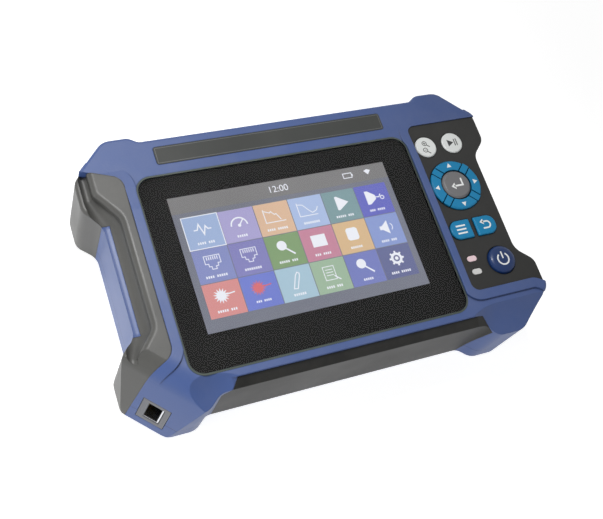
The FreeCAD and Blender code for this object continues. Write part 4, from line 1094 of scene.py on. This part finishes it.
def background_strength(tree, glow, shine):
    """Strength of a pale surface: shine where it is seen directly, in gloss or through glass, else glow."""
    path = add(tree, "ShaderNodeLightPath")
    seen = add(tree, "ShaderNodeMath", operation="MAXIMUM")
    shown = add(tree, "ShaderNodeMath", operation="MAXIMUM")
    strength = add(tree, "ShaderNodeMapRange", {"To Min": glow, "To Max": shine})
    tree.links.new(path.outputs["Is Camera Ray"], seen.inputs[0])
    tree.links.new(path.outputs["Is Glossy Ray"], seen.inputs[1])
    tree.links.new(seen.outputs[0], shown.inputs[0])
    tree.links.new(path.outputs["Is Transmission Ray"], shown.inputs[1])
    tree.links.new(shown.outputs[0], strength.inputs["Value"])
    return strength.outputs["Result"]


def make_floor():
    """Pale floor that runs into the white background and keeps the object's shadow."""
    mesh = bmesh.new()
    bmesh.ops.create_grid(mesh, x_segments=1, y_segments=1, size=FLOOR_REACH)
    data = bpy.data.meshes.new("floor")
    mesh.to_mesh(data)
    mesh.free()
    material, tree, shader = new_material("pale_floor", {
        "Base Color": FLOOR_GREY,
        "Roughness": 0.9,
        "Specular IOR Level": 0.0,
        "Emission Color": (1.0, 1.0, 1.0, 1.0),
    })
    tree.links.new(background_strength(tree, FLOOR_GLOW, FLOOR_SHINE), shader.inputs["Emission Strength"])
    data.materials.append(material)
    floor = bpy.data.objects.new("floor", data)
    bpy.context.scene.collection.objects.link(floor)


def make_world():
    world = bpy.data.worlds.new("studio")
    bpy.context.scene.world = world
    world.use_nodes = True
    tree = world.node_tree
    background = tree.nodes["Background"]
    background.inputs["Color"].default_value = (1.0, 1.0, 1.0, 1.0)
    tree.links.new(background_strength(tree, WORLD_GLOW, WORLD_SHINE), background.inputs["Strength"])


def place_lamp(name, lamp, place, aim):
    holder = bpy.data.objects.new(name, lamp)
    holder.location = place
    holder.rotation_mode = "QUATERNION"
    holder.rotation_quaternion = (aim - place).to_track_quat("-Z", "Y")
    bpy.context.scene.collection.objects.link(holder)
    return holder


def make_key_spot():
    """Lamp with a soft-edged cone, so that the far right lies in less light."""
    lamp = bpy.data.lights.new("key_spot", "SPOT")
    lamp.spot_size = KEY_SPOT_CONE
    lamp.spot_blend = 1.0
    lamp.shadow_soft_size = KEY_SPOT_RADIUS
    lamp.energy = KEY_SPOT_POWER
    place_lamp("key_spot", lamp, KEY_SPOT_PLACE, KEY_SPOT_AIM)


def make_side_lamp():
    """Broad lamp without a mirror image in the cover glass."""
    lamp = bpy.data.lights.new("side_lamp", "AREA")
    lamp.shape = "DISK"
    lamp.size = SIDE_LAMP_WIDTH
    lamp.energy = SIDE_LAMP_POWER
    holder = place_lamp("side_lamp", lamp, SIDE_LAMP_PLACE, SIDE_LAMP_AIM)
    holder.visible_glossy = False


def make_camera():
    camera = bpy.data.cameras.new("camera")
    camera.sensor_width = 36.0
    camera.lens = CAMERA_LENS
    camera.clip_start = 0.01
    camera.clip_end = 50.0
    holder = bpy.data.objects.new("camera", camera)
    ahead = Vector((
        math.sin(CAMERA_HEADING) * math.cos(CAMERA_ELEVATION),
        math.cos(CAMERA_HEADING) * math.cos(CAMERA_ELEVATION),
        -math.sin(CAMERA_ELEVATION),
    ))
    holder.location = CAMERA_PLACE
    holder.rotation_mode = "QUATERNION"
    holder.rotation_quaternion = ahead.to_track_quat("-Z", "Y") @ Quaternion((0, 0, 1), CAMERA_ROLL)
    bpy.context.scene.collection.objects.link(holder)
    bpy.context.scene.camera = holder


bpy.context.scene.view_settings.view_transform = "Standard"
make_floor()
make_world()
make_key_spot()
make_side_lamp()
make_camera()
